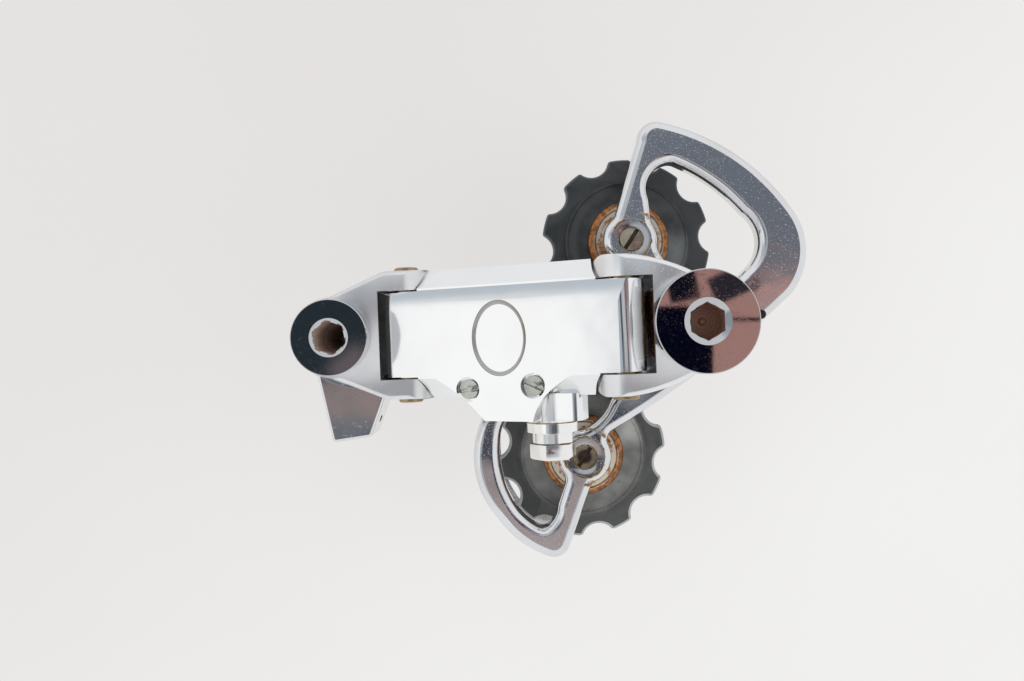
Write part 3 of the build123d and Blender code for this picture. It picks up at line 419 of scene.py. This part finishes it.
def moulded_plastic(name, centre, base, dust, dustiness, sheen):
    """Dark wheel plastic, with dust that settles on the web, a painted sheen on one side of the web and a
    few brown flecks.
    """
    material, tree, shader, place = start_material(name, 0.4, 0.0)
    dusty = ramp(tree, noise(tree, place, 240.0, 6.0), (0.42, 0.0), (0.72, 1.0))
    on_web = use_group(tree, RING_STAIN, Centre=tuple(centre), Radius=WEB_MIDDLE_R, Spread=WEB_REACH,
                       Ragged=0.08)["Mask"]
    worn = use_group(tree, HANDLING_WEAR, Pit_Share=0.5)
    lighter = tuple(1.5 * level for level in base)
    colour = blend_colour(tree, math_node(tree, "MULTIPLY", dusty, 0.5), base, lighter)
    settled = math_node(tree, "MULTIPLY", dusty, 0.5)
    settled = math_node(tree, "MULTIPLY", on_web, math_node(tree, "ADD", dustiness, settled))
    colour = blend_colour(tree, settled, colour, dust)
    # A lighter patch on one side of the web is a painted sheen, standing for a reflection.
    painted_sheen = use_group(tree, STAIN_AND_PAINTED_LIGHT_ZONE, Centre=tuple(centre + Vector(sheen) * MM), Soft=2.6 * MM,
                       Ragged=1.2 * MM, Half_Size=PAINTED_SHEEN_HALF)["Mask"]
    painted_sheen = math_node(tree, "MULTIPLY", math_node(tree, "MULTIPLY", painted_sheen, on_web), 0.9)
    colour = blend_colour(tree, painted_sheen, colour, tuple(2.1 * level for level in dust))
    colour = blend_colour(tree, math_node(tree, "MULTIPLY", worn["Scratches"], 0.3), colour, SCRATCHED)
    brown = ramp(tree, noise(tree, place, 620.0, 4.0), (0.63, 0.0), (0.73, 0.6))
    colour = blend_colour(tree, math_node(tree, "MULTIPLY", brown, on_web), colour, BROWN_FLECK)
    plug(tree, shader.inputs["Base Color"], colour)
    dull = math_node(tree, "MULTIPLY", dusty, 0.2)
    plug(tree, shader.inputs["Roughness"], math_node(tree, "ADD", 0.30, dull))
    finish_bump(tree, shader, noise(tree, place, 900.0, 3.0), 0.15, 0.04 * MM)
    return material


BENCH_GLOW_SHARE = 0.6     # how much of what the eye sees of the bench doesn't depend on the lamps


def bench_paint():
    """The pale bench, with painted light that makes one side a little brighter, and the part's soft shadow.
    """
    material, tree, shader, place = start_material("bench_paint", 0.6, 0.0)
    mottled = ramp(tree, noise(tree, place, 9.0, 5.0), (0.35, 0.0), (0.7, 1.0))
    colour = blend_colour(tree, mottled, (0.80, 0.785, 0.765), (0.84, 0.83, 0.81))
    plug(tree, shader.inputs["Base Color"], colour)
    # Painted light: the glow is brighter on one side of the bench, as if lit more from there.
    slope = vector_node(tree, "DOT_PRODUCT", place, (0.6, -0.8, 0)).outputs["Value"]
    painted_bright_side = fall_off(tree, slope, 0.13, -0.10)
    glow_with_painted_light = blend_colour(tree, painted_bright_side, (0.805, 0.775, 0.755), (0.935, 0.93, 0.915))
    emit = add_node(tree, "ShaderNodeEmission", {"Color": glow_with_painted_light})
    path = add_node(tree, "ShaderNodeLightPath").outputs
    seen = math_node(tree, "MAXIMUM", path["Is Camera Ray"], path["Is Glossy Ray"])
    share = math_node(tree, "MULTIPLY", seen, BENCH_GLOW_SHARE)
    both = add_node(tree, "ShaderNodeMixShader", {0: share, 1: shader.outputs[0], 2: emit.outputs[0]})
    output = tree.nodes["Material Output"]
    tree.links.new(both.outputs[0], output.inputs["Surface"])
    return material


# ---- Finishes of the parts ---------------------------------------------------------------
def cap_stains(centre, film):
    """Rust round a wheel's dust cap: a dull film, an orange band with a dark edge, and lines inside it."""
    return [ring(centre, 6.0, 3.0, 0.15, film, 0.0, 0.5, grain="plain"),
            ring(centre, 8.45, 0.95, 0.30, RUST),
            ring(centre, 9.05, 0.26, 0.25, RUST_DARK),
            ring(centre, 7.45, 0.26, 0.30, (0.26, 0.15, 0.07), 0.3, 0.6),
            ring(centre, 6.35, 0.45, 1.10, (0.46, 0.21, 0.06), 0.4, 0.8, 0.9)]


def boss_stains(centre):
    """Rust in the corner of a boss's spot face, round the bolt in it and where the boss meets its arm."""
    return [ring(centre, 4.40, 0.26, 1.00, (0.42, 0.24, 0.08), 0.3, 0.7, 1.1),
            ring(centre, 2.65, 0.22, 0.60, (0.30, 0.20, 0.09), 0.2, 0.4),
            ring(centre, 6.1, 0.26, 1.10, (0.42, 0.21, 0.06), 0.3, 0.7, 0.5)]


# How far the middle of each stain lies below the top of its bolt, and how wide each is, in millimetres.
SOCKET_DEPTHS = {"hanger_bolt": 18.6, "pivot_bolt": 3.6}
SOCKET_HALF = 3.55
SLOT_DEPTH = 2.3
SLOT_HALF = (2.6, 2.6, 2.0)


def socket_stain(bolt, axis, reach, colour, cover):
    """The brown film in a bolt's hexagon socket, which shows the rings of its drill."""
    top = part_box(bolt)[1].z
    centre = Vector((axis.x, axis.y, top - SOCKET_DEPTHS[bolt] * MM))
    return zone(centre, (SOCKET_HALF, SOCKET_HALF, reach), 0.1, 0.2, colour, 0.3, cover, "rings")


def slot_dirt(bolt, axis):
    """The dirt on the floor and walls of a bolt's slot."""
    centre = Vector((axis.x, axis.y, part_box(bolt)[1].z - SLOT_DEPTH * MM))
    return zone(centre, SLOT_HALF, 0.05, 0.1, RUST_DARK, 0.2, 0.9)


# Places that carry a stain, a painted highlight, painted shade or a curve of their own.
ANCHOR_SEAT = on_link(30.4, -17.98, -0.1)
ANCHOR_NECK = on_link(30.4, -22.1, -0.1)
LIMIT_SCREWS = {"high": on_link(14.6, -11.3), "low": on_link(28.1, -10.8)}
LINK_END = on_link(49.75, 0.3, 1.0)
ROLL_OVER_PAINTED_HIGHLIGHT = on_link(48.35, 0.3, 2.0)
LUG_CENTRE = HANGER_AXIS + Vector((2.2, -16.6, 12.0)) * MM
B_CLEVIS_PAINTED_SHADE = HANGER_AXIS + Vector((11.4, 0.0, 10.0)) * MM
P_CLEVIS_GREASE_AND_SHADE = CAGE_AXIS + Vector((-7.9, 0.0, 18.9)) * MM
YOKE_B_CROWN = HANGER_AXIS + Vector((6, 8, 0)) * MM
YOKE_P_CROWN = CAGE_AXIS + Vector((-6, 9, 0)) * MM

POLISHED = metal("polished_alloy", (0.91, 0.915, 0.92), 0.10, (0.86, 0.86, 0.855), wear=0.10, specks=0.05,
                 ripple=14.0, cloudy=0.4, dull=0.03,
                 stains_and_painted_light=[zone(LINK_END, (0.75, 6.2, 4), 0.1, 0.8, (0.30, 0.20, 0.05), 0.3, 0.8),
                         # The pale, mostly plain patch on the link's roll-over is a painted highlight.
                         zone(ROLL_OVER_PAINTED_HIGHLIGHT, (0.85, 6.6, 2.5), 0.3, 0.2, (0.86, 0.87, 0.88), 0.26, 0.8,
                              "plain")])
YOKE_B = metal("satin_alloy_upper", (0.82, 0.825, 0.83), 0.30, (0.72, 0.71, 0.70), wear=0.14, specks=0.35,
               domes=[dome(YOKE_B_CROWN, 19, 3.2)],
               stains_and_painted_light=[zone(LUG_CENTRE, (10, 8.6, 5.4), 0.1, 0.1, None, -0.26, 0),
                       # The near-black patch in the upper knuckle's clevis gap is painted shade.
                       zone(B_CLEVIS_PAINTED_SHADE, (2.4, 8.9, 10.1), 0.08, 0.1, PAINTED_SHADE_BLACK, 0.1, 1.0)])
YOKE_P = metal("satin_alloy_lower", (0.88, 0.885, 0.89), 0.26, (0.74, 0.73, 0.72), wear=0.14, specks=0.28,
               relief=0.06, domes=[dome(YOKE_P_CROWN, 22, 3.0)],
               # Dark red-brown grease in the lower knuckle's clevis, made darker as painted shade of the
               # recess.
               stains_and_painted_light=[zone(P_CLEVIS_GREASE_AND_SHADE, (2.4, 6.3, 8.8), 0.25, 1.4, GREASE_AND_SHADE, -0.05, 1.0)])
CAGE_POLISHED = metal("polished_cage", (0.80, 0.81, 0.83), 0.075, (0.70, 0.68, 0.67), wear=0.12, specks=0.55,
                      pit_scale=2900.0, ripple=16.0, dull=0.03,
                      domes=[dome(UPPER_WHEEL, 4.4, -0.22), dome(LOWER_WHEEL, 4.4, -0.26)],
                      stains_and_painted_light=boss_stains(UPPER_WHEEL) + boss_stains(LOWER_WHEEL))
CHROME_B = metal("dark_chrome_hanger", (0.57, 0.58, 0.60), 0.030, (0.54, 0.53, 0.53), wear=0.05, specks=0.22,
                 pit_scale=3200.0, dull=0.012, relief=0.04, turned=HANGER_AXIS,
                 stains_and_painted_light=[socket_stain("hanger_bolt", HANGER_AXIS, 18.0, (0.50, 0.37, 0.31), 0.75)])
CHROME_P = metal("dark_chrome_pivot", (0.57, 0.58, 0.60), 0.018, (0.54, 0.53, 0.53), wear=0.05, specks=0.20,
                 pit_scale=3600.0, dull=0.008, relief=0.03, turned=CAGE_AXIS,
                 stains_and_painted_light=[socket_stain("pivot_bolt", CAGE_AXIS, 3.0, (0.27, 0.13, 0.08), 0.9)])
PIN_BROWN = metal("pin_steel", (0.42, 0.32, 0.20), 0.28, (0.24, 0.15, 0.09), wear=0.12)
PLATED = metal("zinc_plating", (0.94, 0.93, 0.91), 0.12, (0.78, 0.74, 0.66), wear=0.12, specks=0.15,
               cloudy=0.35,
               stains_and_painted_light=[zone(ANCHOR_SEAT, (5.2, 0.12, 5.2), 0.03, 0.1, (0.36, 0.20, 0.07), 0.3, 0.8),
                       zone(ANCHOR_NECK, (5.2, 0.12, 5.2), 0.05, 0.3, (0.20, 0.11, 0.06), 0.3, 0.7)])
SCREW = metal("screw_steel", (0.56, 0.57, 0.52), 0.14, (0.36, 0.35, 0.28), wear=0.12, dull=0.10,
              domes=[dome(centre, 2.3, 0.55, LINK_OUT) for centre in LIMIT_SCREWS.values()])
BOLT_UPPER = metal("wheel_bolt_steel_upper", (0.62, 0.57, 0.48), 0.15, (0.40, 0.31, 0.20), wear=0.14,
                   domes=[dome(UPPER_WHEEL, 2.8, 0.16)],
                   stains_and_painted_light=[slot_dirt("upper_pulley_bolt", UPPER_WHEEL)])
BOLT_LOWER = metal("wheel_bolt_steel_lower", (0.62, 0.53, 0.38), 0.18, (0.40, 0.30, 0.18), wear=0.14,
                   stains_and_painted_light=[ring(LOWER_WHEEL, 0.0, 2.5, 0.10, (0.045, 0.024, 0.020), 0.05, 0.8),
                           slot_dirt("lower_pulley_bolt", LOWER_WHEEL)])
CAP_UPPER = metal("cap_steel_upper", (0.76, 0.73, 0.68), 0.28, (0.56, 0.49, 0.39), wear=0.14, specks=0.3,
                  domes=[dome(UPPER_WHEEL, 9.2, 0.7)], stains_and_painted_light=cap_stains(UPPER_WHEEL, (0.56, 0.50, 0.43)))
CAP_LOWER = metal("cap_steel_lower", (0.82, 0.75, 0.64), 0.28, (0.66, 0.53, 0.36), wear=0.14, specks=0.3,
                  domes=[dome(LOWER_WHEEL, 9.2, 0.7)], stains_and_painted_light=cap_stains(LOWER_WHEEL, (0.76, 0.64, 0.50)))
OVAL_RIM = metal("oval_rim_alloy", (0.50, 0.49, 0.485), 0.30, (0.36, 0.30, 0.22), wear=0.1, cloudy=0.8)
BUSH = metal("turned_steel", (0.55, 0.55, 0.55), 0.3, (0.4, 0.36, 0.32))
SPRING = metal("oiled_spring", (0.22, 0.20, 0.18), 0.3, (0.12, 0.08, 0.05))
BLACKENED = metal("blackened_steel", (0.05, 0.05, 0.055), 0.35, (0.03, 0.028, 0.028))

# Where the painted sheen lies on each wheel's web, in millimetres from its axis.
SHEEN_UPPER, SHEEN_LOWER = (11.0, -3.5, 0), (11.0, 6.5, 0)
PLASTIC_UPPER = moulded_plastic("wheel_plastic_upper", UPPER_WHEEL, (0.030, 0.034, 0.036),
                                (0.095, 0.10, 0.10), 0.1, SHEEN_UPPER)
PLASTIC_LOWER = moulded_plastic("wheel_plastic_lower", LOWER_WHEEL, (0.060, 0.062, 0.059),
                                (0.285, 0.288, 0.27), 0.54, SHEEN_LOWER)
# The sloping faces of the teeth, in a paler plastic than the rest of each wheel.
EDGE_UPPER = moulded_plastic("pale_tooth_edge_upper", UPPER_WHEEL, (0.085, 0.095, 0.10),
                             (0.1, 0.1, 0.1), 0.0, SHEEN_UPPER)
EDGE_LOWER = moulded_plastic("pale_tooth_edge_lower", LOWER_WHEEL, (0.36, 0.37, 0.365),
                             (0.3, 0.3, 0.3), 0.0, SHEEN_LOWER)

FINISHES = {
    "b_knuckle": YOKE_B, "p_knuckle": YOKE_P, "outer_link": POLISHED, "inner_link": POLISHED,
    "outer_cage_plate": CAGE_POLISHED, "inner_cage_plate": CAGE_POLISHED,
    "hanger_bolt": CHROME_B, "pivot_bolt": CHROME_P,
    "b_outer_pin": PIN_BROWN, "b_inner_pin": PIN_BROWN, "p_outer_pin": PIN_BROWN, "p_inner_pin": PIN_BROWN,
    "high_limit_screw": SCREW, "low_limit_screw": SCREW,
    "cable_anchor_bolt": PLATED, "cable_anchor_washer": PLATED,
    "upper_pulley_bolt": BOLT_UPPER, "lower_pulley_bolt": BOLT_LOWER,
    "upper_pulley_outer_cap": CAP_UPPER, "upper_pulley_inner_cap": CAP_UPPER,
    "lower_pulley_outer_cap": CAP_LOWER, "lower_pulley_inner_cap": CAP_LOWER,
    "upper_pulley_bush": BUSH, "lower_pulley_bush": BUSH,
    "return_spring": SPRING, "cage_spring": SPRING, "hanger_clip": SPRING,
    "cage_stop_pin": BLACKENED, "upper_pulley": PLASTIC_UPPER, "lower_pulley": PLASTIC_LOWER,
}
for node_name, finish in FINISHES.items():
    piece = nodes[node_name]
    piece.data.materials.clear()
    piece.data.materials.append(finish)


# ---- Modelled pieces ---------------------------------------------------------------------
SHARP = math.radians(32)       # edges that turn by more than this stay sharp
FLAT = math.radians(1.5)       # faces that turn by less than this become one
MERGED_FLAT = 0.002 * MM       # how close doubles are when flat faces are made whole
MERGED_ROUND = 0.0005 * MM     # and when round ones are kept as they are


def finish_piece(shape, name, material, body, stands_for=(), sharp=SHARP):
    """Closes a bmesh into a named piece that rides on a body, if one is given, and hides the CAD nodes it
    stands for.
    """
    bmesh.ops.recalc_face_normals(shape, faces=shape.faces)
    mesh = bpy.data.meshes.new(name)
    shape.to_mesh(mesh)
    shape.free()
    mesh.shade_smooth()
    mesh.set_sharp_from_angle(angle=sharp)
    mesh.materials.append(material)
    piece = bpy.data.objects.new(name, mesh)
    scene.collection.objects.link(piece)
    if body:
        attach(piece, body)
    if stands_for:
        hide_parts(*stands_for)
    return piece


def merged_copy(node_name, flatten=True):
    """A CAD node's mesh as a bmesh, with its doubles merged and, if wanted, its flat faces made whole."""
    shape = bmesh.new()
    shape.from_mesh(nodes[node_name].data)
    bmesh.ops.remove_doubles(shape, verts=shape.verts, dist=MERGED_FLAT if flatten else MERGED_ROUND)
    if flatten:
        bmesh.ops.dissolve_limit(shape, angle_limit=FLAT, verts=shape.verts, edges=shape.edges)
    return shape


def soften_edges(shape, width, keep=None, clamp=True):
    """Bevels every sharp edge of a closed shape that `keep` lets through."""
    sharp = [edge for edge in shape.edges
             if edge.is_manifold and edge.calc_face_angle(0) > SHARP and (keep is None or keep(edge))]
    bmesh.ops.bevel(shape, geom=sharp, offset=width, offset_type="OFFSET", segments=2, profile=0.5,
                    affect="EDGES", clamp_overlap=clamp, material=-1)
    return shape


# A wheel's web runs from its hub to its rim, a little inside the foot of the teeth.
WHEEL_WEB_R = 13.9 * MM
TOOTH_FOOT_R = WHEEL_WEB_R + 0.5 * MM
HUB_R = 6.6 * MM
WHEEL_HALF = 2.4 * MM
WEB_STEPS = ((13.5, 0.0), (13.1, 0.40), (9.6, 0.75), (8.0, 0.30))     # radius and depth of the dished web


def from_centre(vert, centre):
    """How far a point stands from a wheel's own axis."""
    return (vert.co - centre).to_2d().length


def open_loop(shape, centre, radius):
    """The open edges of a shape that run round a wheel's axis at one radius."""
    return [edge for edge in shape.edges if edge.is_boundary
            and all(abs(from_centre(vert, centre) - radius) < 0.1 * MM for vert in edge.verts)]


def dish_web(shape, centre, side):
    """Lets one face of a wheel's web sink in steps from its rim towards the hub."""
    flat_z = centre.z + side * WHEEL_HALF
    web = [face for face in shape.faces
           if all(abs(vert.co.z - flat_z) < 0.01 * MM for vert in face.verts) and face.normal.z * side > 0.9]
    bmesh.ops.delete(shape, geom=web, context="FACES")
    rim = open_loop(shape, centre, WHEEL_WEB_R)
    hub = open_loop(shape, centre, HUB_R)
    for radius, depth in WEB_STEPS:
        grown = bmesh.ops.extrude_edge_only(shape, edges=rim)["geom"]
        rim = [item for item in grown if isinstance(item, bmesh.types.BMEdge)]
        for vert in {vert for edge in rim for vert in edge.verts}:
            arm = (vert.co - centre).to_2d().normalized() * radius * MM
            vert.co = Vector((centre.x + arm.x, centre.y + arm.y, flat_z - side * depth * MM))
    bmesh.ops.bridge_loops(shape, edges=rim + hub)


def make_wheel(which, centre, plastic, edge_plastic, easing):
    """A chain wheel with eased teeth, whose sloping faces take a paler plastic, and a web dished on both
    sides.
    """

    def on_tooth(edge):
        """Whether an edge lies outside the foot of the teeth."""
        return min(from_centre(vert, centre) for vert in edge.verts) > TOOTH_FOOT_R

    shape = soften_edges(merged_copy(f"{which}_pulley"), easing * MM, keep=on_tooth, clamp=False)
    for side in (-1, 1):
        dish_web(shape, centre, side)
    shape.normal_update()
    for face in shape.faces:
        slopes = 0.2 < abs(face.normal.z) < 0.97
        if slopes and from_centre(face.verts[0], centre) > TOOTH_FOOT_R:
            face.material_index = 1
    wheel = finish_piece(shape, f"{which}_chain_wheel", plastic, f"{which}_wheel",
                         (f"{which}_pulley",))
    wheel.data.materials.append(edge_plastic)


make_wheel("upper", UPPER_WHEEL, PLASTIC_UPPER, EDGE_UPPER, 0.45)
make_wheel("lower", LOWER_WHEEL, PLASTIC_LOWER, EDGE_LOWER, 0.60)


# ---- Screws of the outer link ------------------------------------------------------------
def make_eased_screw(node_name, width, turn=0.0, centre=None):
    """A screw with its edges broken, turned in its hole by some degrees."""
    shape = soften_edges(merged_copy(node_name), width * MM)
    if centre:
        turned = Matrix.Rotation(math.radians(turn), 3, LINK_OUT)
        bmesh.ops.rotate(shape, verts=shape.verts, cent=centre, matrix=turned)
    finish_piece(shape, f"{node_name}_eased", FINISHES[node_name], "outer_link_set",
                 (node_name,))


make_eased_screw("cable_anchor_bolt", 0.16)
make_eased_screw("high_limit_screw", 0.14, -14, LIMIT_SCREWS["high"])
make_eased_screw("low_limit_screw", 0.14, -50, LIMIT_SCREWS["low"])


# ---- Hanger bolt's thread ----------------------------------------------------------------
# The thread, in millimetres. Its profile gives radii at shares of a pitch, and its tip is chamfered.
THREAD_PITCH = 1.0
THREAD_CREST, THREAD_ROOT = 4.98, 4.40
THREAD_PROFILE = ((0.0, THREAD_CREST), (0.16, THREAD_CREST), (0.5, THREAD_ROOT), (0.66, THREAD_ROOT))
THREAD_TIP_R = 4.2
TIP_SLOPE = 0.9
THREAD_TOP = -0.02
THREAD_LENGTH = HANGER_AXIS.z / MM - cad_box[0][2] / MM
THREAD_STEPS = 48
SPARE_TURNS = 3
BOLT_SHARP = math.radians(14)


def cut_level(shape, height, keep_above):
    """Cuts a shape at a level in millimetres, keeps one side of it and closes the cut."""
    side = 1 if keep_above else -1
    geom = shape.verts[:] + shape.edges[:] + shape.faces[:]
    cut = bmesh.ops.bisect_plane(shape, geom=geom, plane_co=(0, 0, height * MM), plane_no=(0, 0, side),
                                 clear_inner=True, dist=0.001 * MM)["geom_cut"]
    bmesh.ops.edgeloop_fill(shape, edges=[item for item in cut if isinstance(item, bmesh.types.BMEdge)])


def make_threaded_shank():
    """A cut thread from the knuckle's face to a chamfered tip, as one closed skin."""
    shape = bmesh.new()
    chain = []
    for turn in range(-int(THREAD_LENGTH / THREAD_PITCH) - SPARE_TURNS, SPARE_TURNS + 1):
        for share, radius in THREAD_PROFILE:
            chain.append(shape.verts.new((radius * MM, 0, (turn + share) * THREAD_PITCH * MM)))
    edges = [shape.edges.new(pair) for pair in zip(chain, chain[1:])]
    rise = THREAD_PITCH * MM / THREAD_STEPS
    bmesh.ops.spin(shape, geom=chain + edges, cent=(0, 0, 0), axis=UP, dvec=(0, 0, rise), angle=2 * math.pi,
                   steps=THREAD_STEPS, use_merge=False, use_duplicate=False)
    bmesh.ops.remove_doubles(shape, verts=shape.verts, dist=0.005 * MM)
    cut_level(shape, 0.0, keep_above=False)
    cut_level(shape, -THREAD_LENGTH, keep_above=True)
    for vert in shape.verts:
        radius = vert.co.to_2d().length
        allowed = THREAD_TIP_R * MM + TIP_SLOPE * (vert.co.z + THREAD_LENGTH * MM)
        if radius > allowed:
            vert.co.xy *= allowed / radius
    return shape


def make_hanger_bolt():
    """The hanger bolt with its thread cut."""
    shape = merged_copy("hanger_bolt", flatten=False)
    cut_level(shape, THREAD_TOP, keep_above=True)
    shank = make_threaded_shank()
    shank_mesh = bpy.data.meshes.new("threaded_shank")
    shank.to_mesh(shank_mesh)
    shank.free()
    shape.from_mesh(shank_mesh)
    bpy.data.meshes.remove(shank_mesh)
    finish_piece(shape, "hanger_bolt_threaded", CHROME_B, "hanger_bolt_set",
                 ("hanger_bolt",), sharp=BOLT_SHARP)


make_hanger_bolt()


# ---- Oval panel's rim --------------------------------------------------------------------
# The oval's half sizes, its place on the link and the bead round it, in millimetres.
OVAL_HALF = (5.6, 7.4)
OVAL_PLACE = (21.5, -1.4)
BEAD_R = 0.34
BEAD_INSET = 0.30
BEAD_FLATTENING = 0.9


def make_oval_rim():
    """A plain bead let in round the panel of the link's face."""
    shape = bmesh.new()
    bead = bmesh.ops.create_circle(shape, segments=10, radius=BEAD_R)["verts"]
    bmesh.ops.rotate(shape, verts=bead, cent=(0, 0, 0), matrix=Matrix.Rotation(math.pi / 2, 3, "X"))
    bmesh.ops.translate(shape, verts=bead, vec=(OVAL_HALF[0] - BEAD_INSET, 0, 0))
    bmesh.ops.spin(shape, geom=shape.edges[:] + bead, cent=(0, 0, 0), axis=UP, angle=2 * math.pi, steps=96,
                   use_merge=True, use_duplicate=False)
    stretch = (1, OVAL_HALF[1] / OVAL_HALF[0], BEAD_FLATTENING)
    bmesh.ops.scale(shape, vec=stretch, verts=shape.verts)
    seat = Matrix((LINK_ALONG, LINK_ACROSS, LINK_OUT)).transposed().to_4x4() @ Matrix.Scale(MM, 4)
    seat.translation = on_link(*OVAL_PLACE, LINK_FACE - BEAD_INSET)
    bmesh.ops.transform(shape, matrix=seat, verts=shape.verts)
    finish_piece(shape, "oval_rim", OVAL_RIM, "outer_link_set")


make_oval_rim()


def make_cage_spring():
    """The cage's spring between its leg in the knuckle and its leg in the cage plate, as a still copy of its
    CAD mesh.
    """
    spring = finish_piece(merged_copy("cage_spring", flatten=False), "cage_spring_wound", SPRING, None,
                          ("cage_spring",))
    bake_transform(spring)


make_cage_spring()


# ---- Bench, light and camera -------------------------------------------------------------
BENCH_HALF = 0.9
BENCH_MIDDLE = (0.04, 0, BENCH_Z)


def make_bench():
    """A wide flat bench under the part."""
    shape = bmesh.new()
    bmesh.ops.create_grid(shape, x_segments=4, y_segments=4, size=BENCH_HALF)
    bmesh.ops.translate(shape, verts=shape.verts, vec=BENCH_MIDDLE)
    mesh = bpy.data.meshes.new("bench")
    shape.to_mesh(mesh)
    shape.free()
    bench = bpy.data.objects.new("bench", mesh)
    scene.collection.objects.link(bench)
    mesh.materials.append(bench_paint())


CAMERA_RIGHT = Vector((0.9992, -0.0401, 0)).normalized()
CAMERA_UP = Vector((0.0401, 0.9992, 0)).normalized()
CAMERA_PLACE = Vector((0.0360, -0.0020, 0.1775))
FOCAL_LENGTH = 27.42
ROOM = (0.90, 0.91, 0.925)
ROOM_STRENGTH = 0.96
LOWEST_RISE = 0.001        # keeps the slopes below finite for directions that point down

# What hangs over the bench, seen from it. Each patch has its centre and half size as slopes from straight
# up, a turn in degrees, the width of its soft edge and its colour.
OVERHEAD = {
    "middle": ((0.00, 0.00), (0.50, 0.36), 0, 0.06, (0.50, 0.52, 0.55)),
    "left_panel": ((-0.90, 0.00), (0.24, 0.30), 0, 0.06, (1.06, 1.06, 1.055)),
    "left_shade": ((-0.455, 0.00), (0.145, 0.30), 0, 0.035, (0.42, 0.47, 0.53)),
    "far_panel": ((-0.95, 0.46), (0.62, 0.24), 0, 0.14, (0.52, 0.57, 0.62)),
    "ceiling_right": ((0.29, 0.17), (0.17, 0.14), 0, 0.03, (0.16, 0.18, 0.215)),
    "ceiling_left": ((-0.23, 0.01), (0.10, 0.17), 0, 0.03, (0.22, 0.24, 0.27)),
    "ceiling_low": ((0.12, -0.12), (0.24, 0.055), 0, 0.02, (0.055, 0.062, 0.085)),
    "warm_panel": ((0.03, -0.225), (0.22, 0.060), 0, 0.03, (0.42, 0.35, 0.34)),
    "hanger_figure": ((-0.2345, 0.010), (0.075, 0.064), 0, 0.012, (0.030, 0.044, 0.054)),
    "cuff": ((-0.205, -0.035), (0.026, 0.022), 40, 0.012, (0.20, 0.165, 0.18)),
    "forearm": ((-0.205, -0.080), (0.060, 0.024), 0, 0.010, (0.31, 0.245, 0.235)),
    "trousers": ((-0.205, -0.128), (0.075, 0.021), 0, 0.008, (0.115, 0.155, 0.19)),
    "shirt": ((0.2520, 0.0240), (0.0720, 0.0720), 0, 0.003, (0.56, 0.31, 0.27)),
    "lobe_sleeve": ((0.3330, 0.0580), (0.0400, 0.0230), 16, 0.004, (0.56, 0.31, 0.27)),
    "camera_body": ((0.2140, -0.0120), (0.0440, 0.0560), 0, 0.0025, (0.002, 0.003, 0.012)),
    "camera_grip": ((0.2190, 0.0690), (0.0195, 0.0185), 12, 0.003, (0.006, 0.008, 0.018)),
    "camera_top": ((0.2840, 0.0740), (0.0300, 0.0180), 24, 0.0025, (0.034, 0.031, 0.042)),
    "strap": ((0.3000, 0.0270), (0.0190, 0.0026), 0, 0.002, (0.06, 0.04, 0.045)),
}


def make_world():
    """A pale studio, with the dark shapes over the bench that polished faces show."""
    world = bpy.data.worlds.new("studio")
    scene.world = world
    world.use_nodes = True
    tree = world.node_tree
    background = tree.nodes["Background"]
    direction = add_node(tree, "ShaderNodeTexCoord").outputs["Generated"]
    upward = add_node(tree, "ShaderNodeSeparateXYZ", {"Vector": direction}).outputs[2]
    rise = math_node(tree, "MAXIMUM", upward, LOWEST_RISE)
    rises = add_node(tree, "ShaderNodeCombineXYZ", {"X": rise, "Y": rise, "Z": rise}).outputs[0]
    slopes = vector_node(tree, "DIVIDE", direction, rises).outputs[0]
    colour = ROOM
    for centre, half_size, turn, softness, patch_colour in OVERHEAD.values():
        middle = centre[0] * CAMERA_RIGHT + centre[1] * CAMERA_UP
        around = math.radians(turn) + math.atan2(CAMERA_RIGHT.y, CAMERA_RIGHT.x)
        inputs = {"Vector": slopes, "Location": middle, "Rotation": (0, 0, around)}
        inside = add_node(tree, "ShaderNodeMapping", inputs, vector_type="TEXTURE").outputs[0]
        parts = add_node(tree, "ShaderNodeSeparateXYZ", {"Vector": inside}).outputs
        masks = [fall_off(tree, math_node(tree, "ABSOLUTE", part), half - softness, half + softness)
                 for part, half in zip(parts, half_size)]
        colour = blend_colour(tree, math_node(tree, "MULTIPLY", *masks), colour, patch_colour)
    plug(tree, background.inputs["Color"], colour)
    background.inputs["Strength"].default_value = ROOM_STRENGTH


def make_softbox(name, place, aim, size, power):
    """A large area lamp turned towards a point; polished faces show the room, not the lamp."""
    lamp = bpy.data.lights.new(name, "AREA")
    lamp.shape = "RECTANGLE"
    lamp.size, lamp.size_y = size
    lamp.energy = power
    holder = bpy.data.objects.new(name, lamp)
    scene.collection.objects.link(holder)
    holder.location = place
    holder.rotation_euler = (Vector(aim) - Vector(place)).to_track_quat("-Z", "Y").to_euler()
    holder.visible_glossy = False


def make_camera():
    """Looking straight down, turned a little about the line of sight."""
    lens = bpy.data.cameras.new("overhead")
    lens.lens = FOCAL_LENGTH
    lens.sensor_width = 36.0
    lens.clip_start = 0.005
    holder = bpy.data.objects.new("overhead", lens)
    scene.collection.objects.link(holder)
    turn = Matrix((CAMERA_RIGHT, CAMERA_UP, UP)).transposed()
    holder.matrix_world = Matrix.Translation(CAMERA_PLACE) @ turn.to_4x4()
    scene.camera = holder


make_bench()
make_world()
make_softbox("left_softbox", (-0.42, -0.02, 0.46), (0.036, 0, 0.02), (0.50, 0.44), 0.55)
make_softbox("right_softbox", (0.46, -0.12, 0.40), (0.12, -0.04, 0.0), (0.40, 0.44), 0.75)
make_camera()
scene.view_settings.view_transform = "Standard"
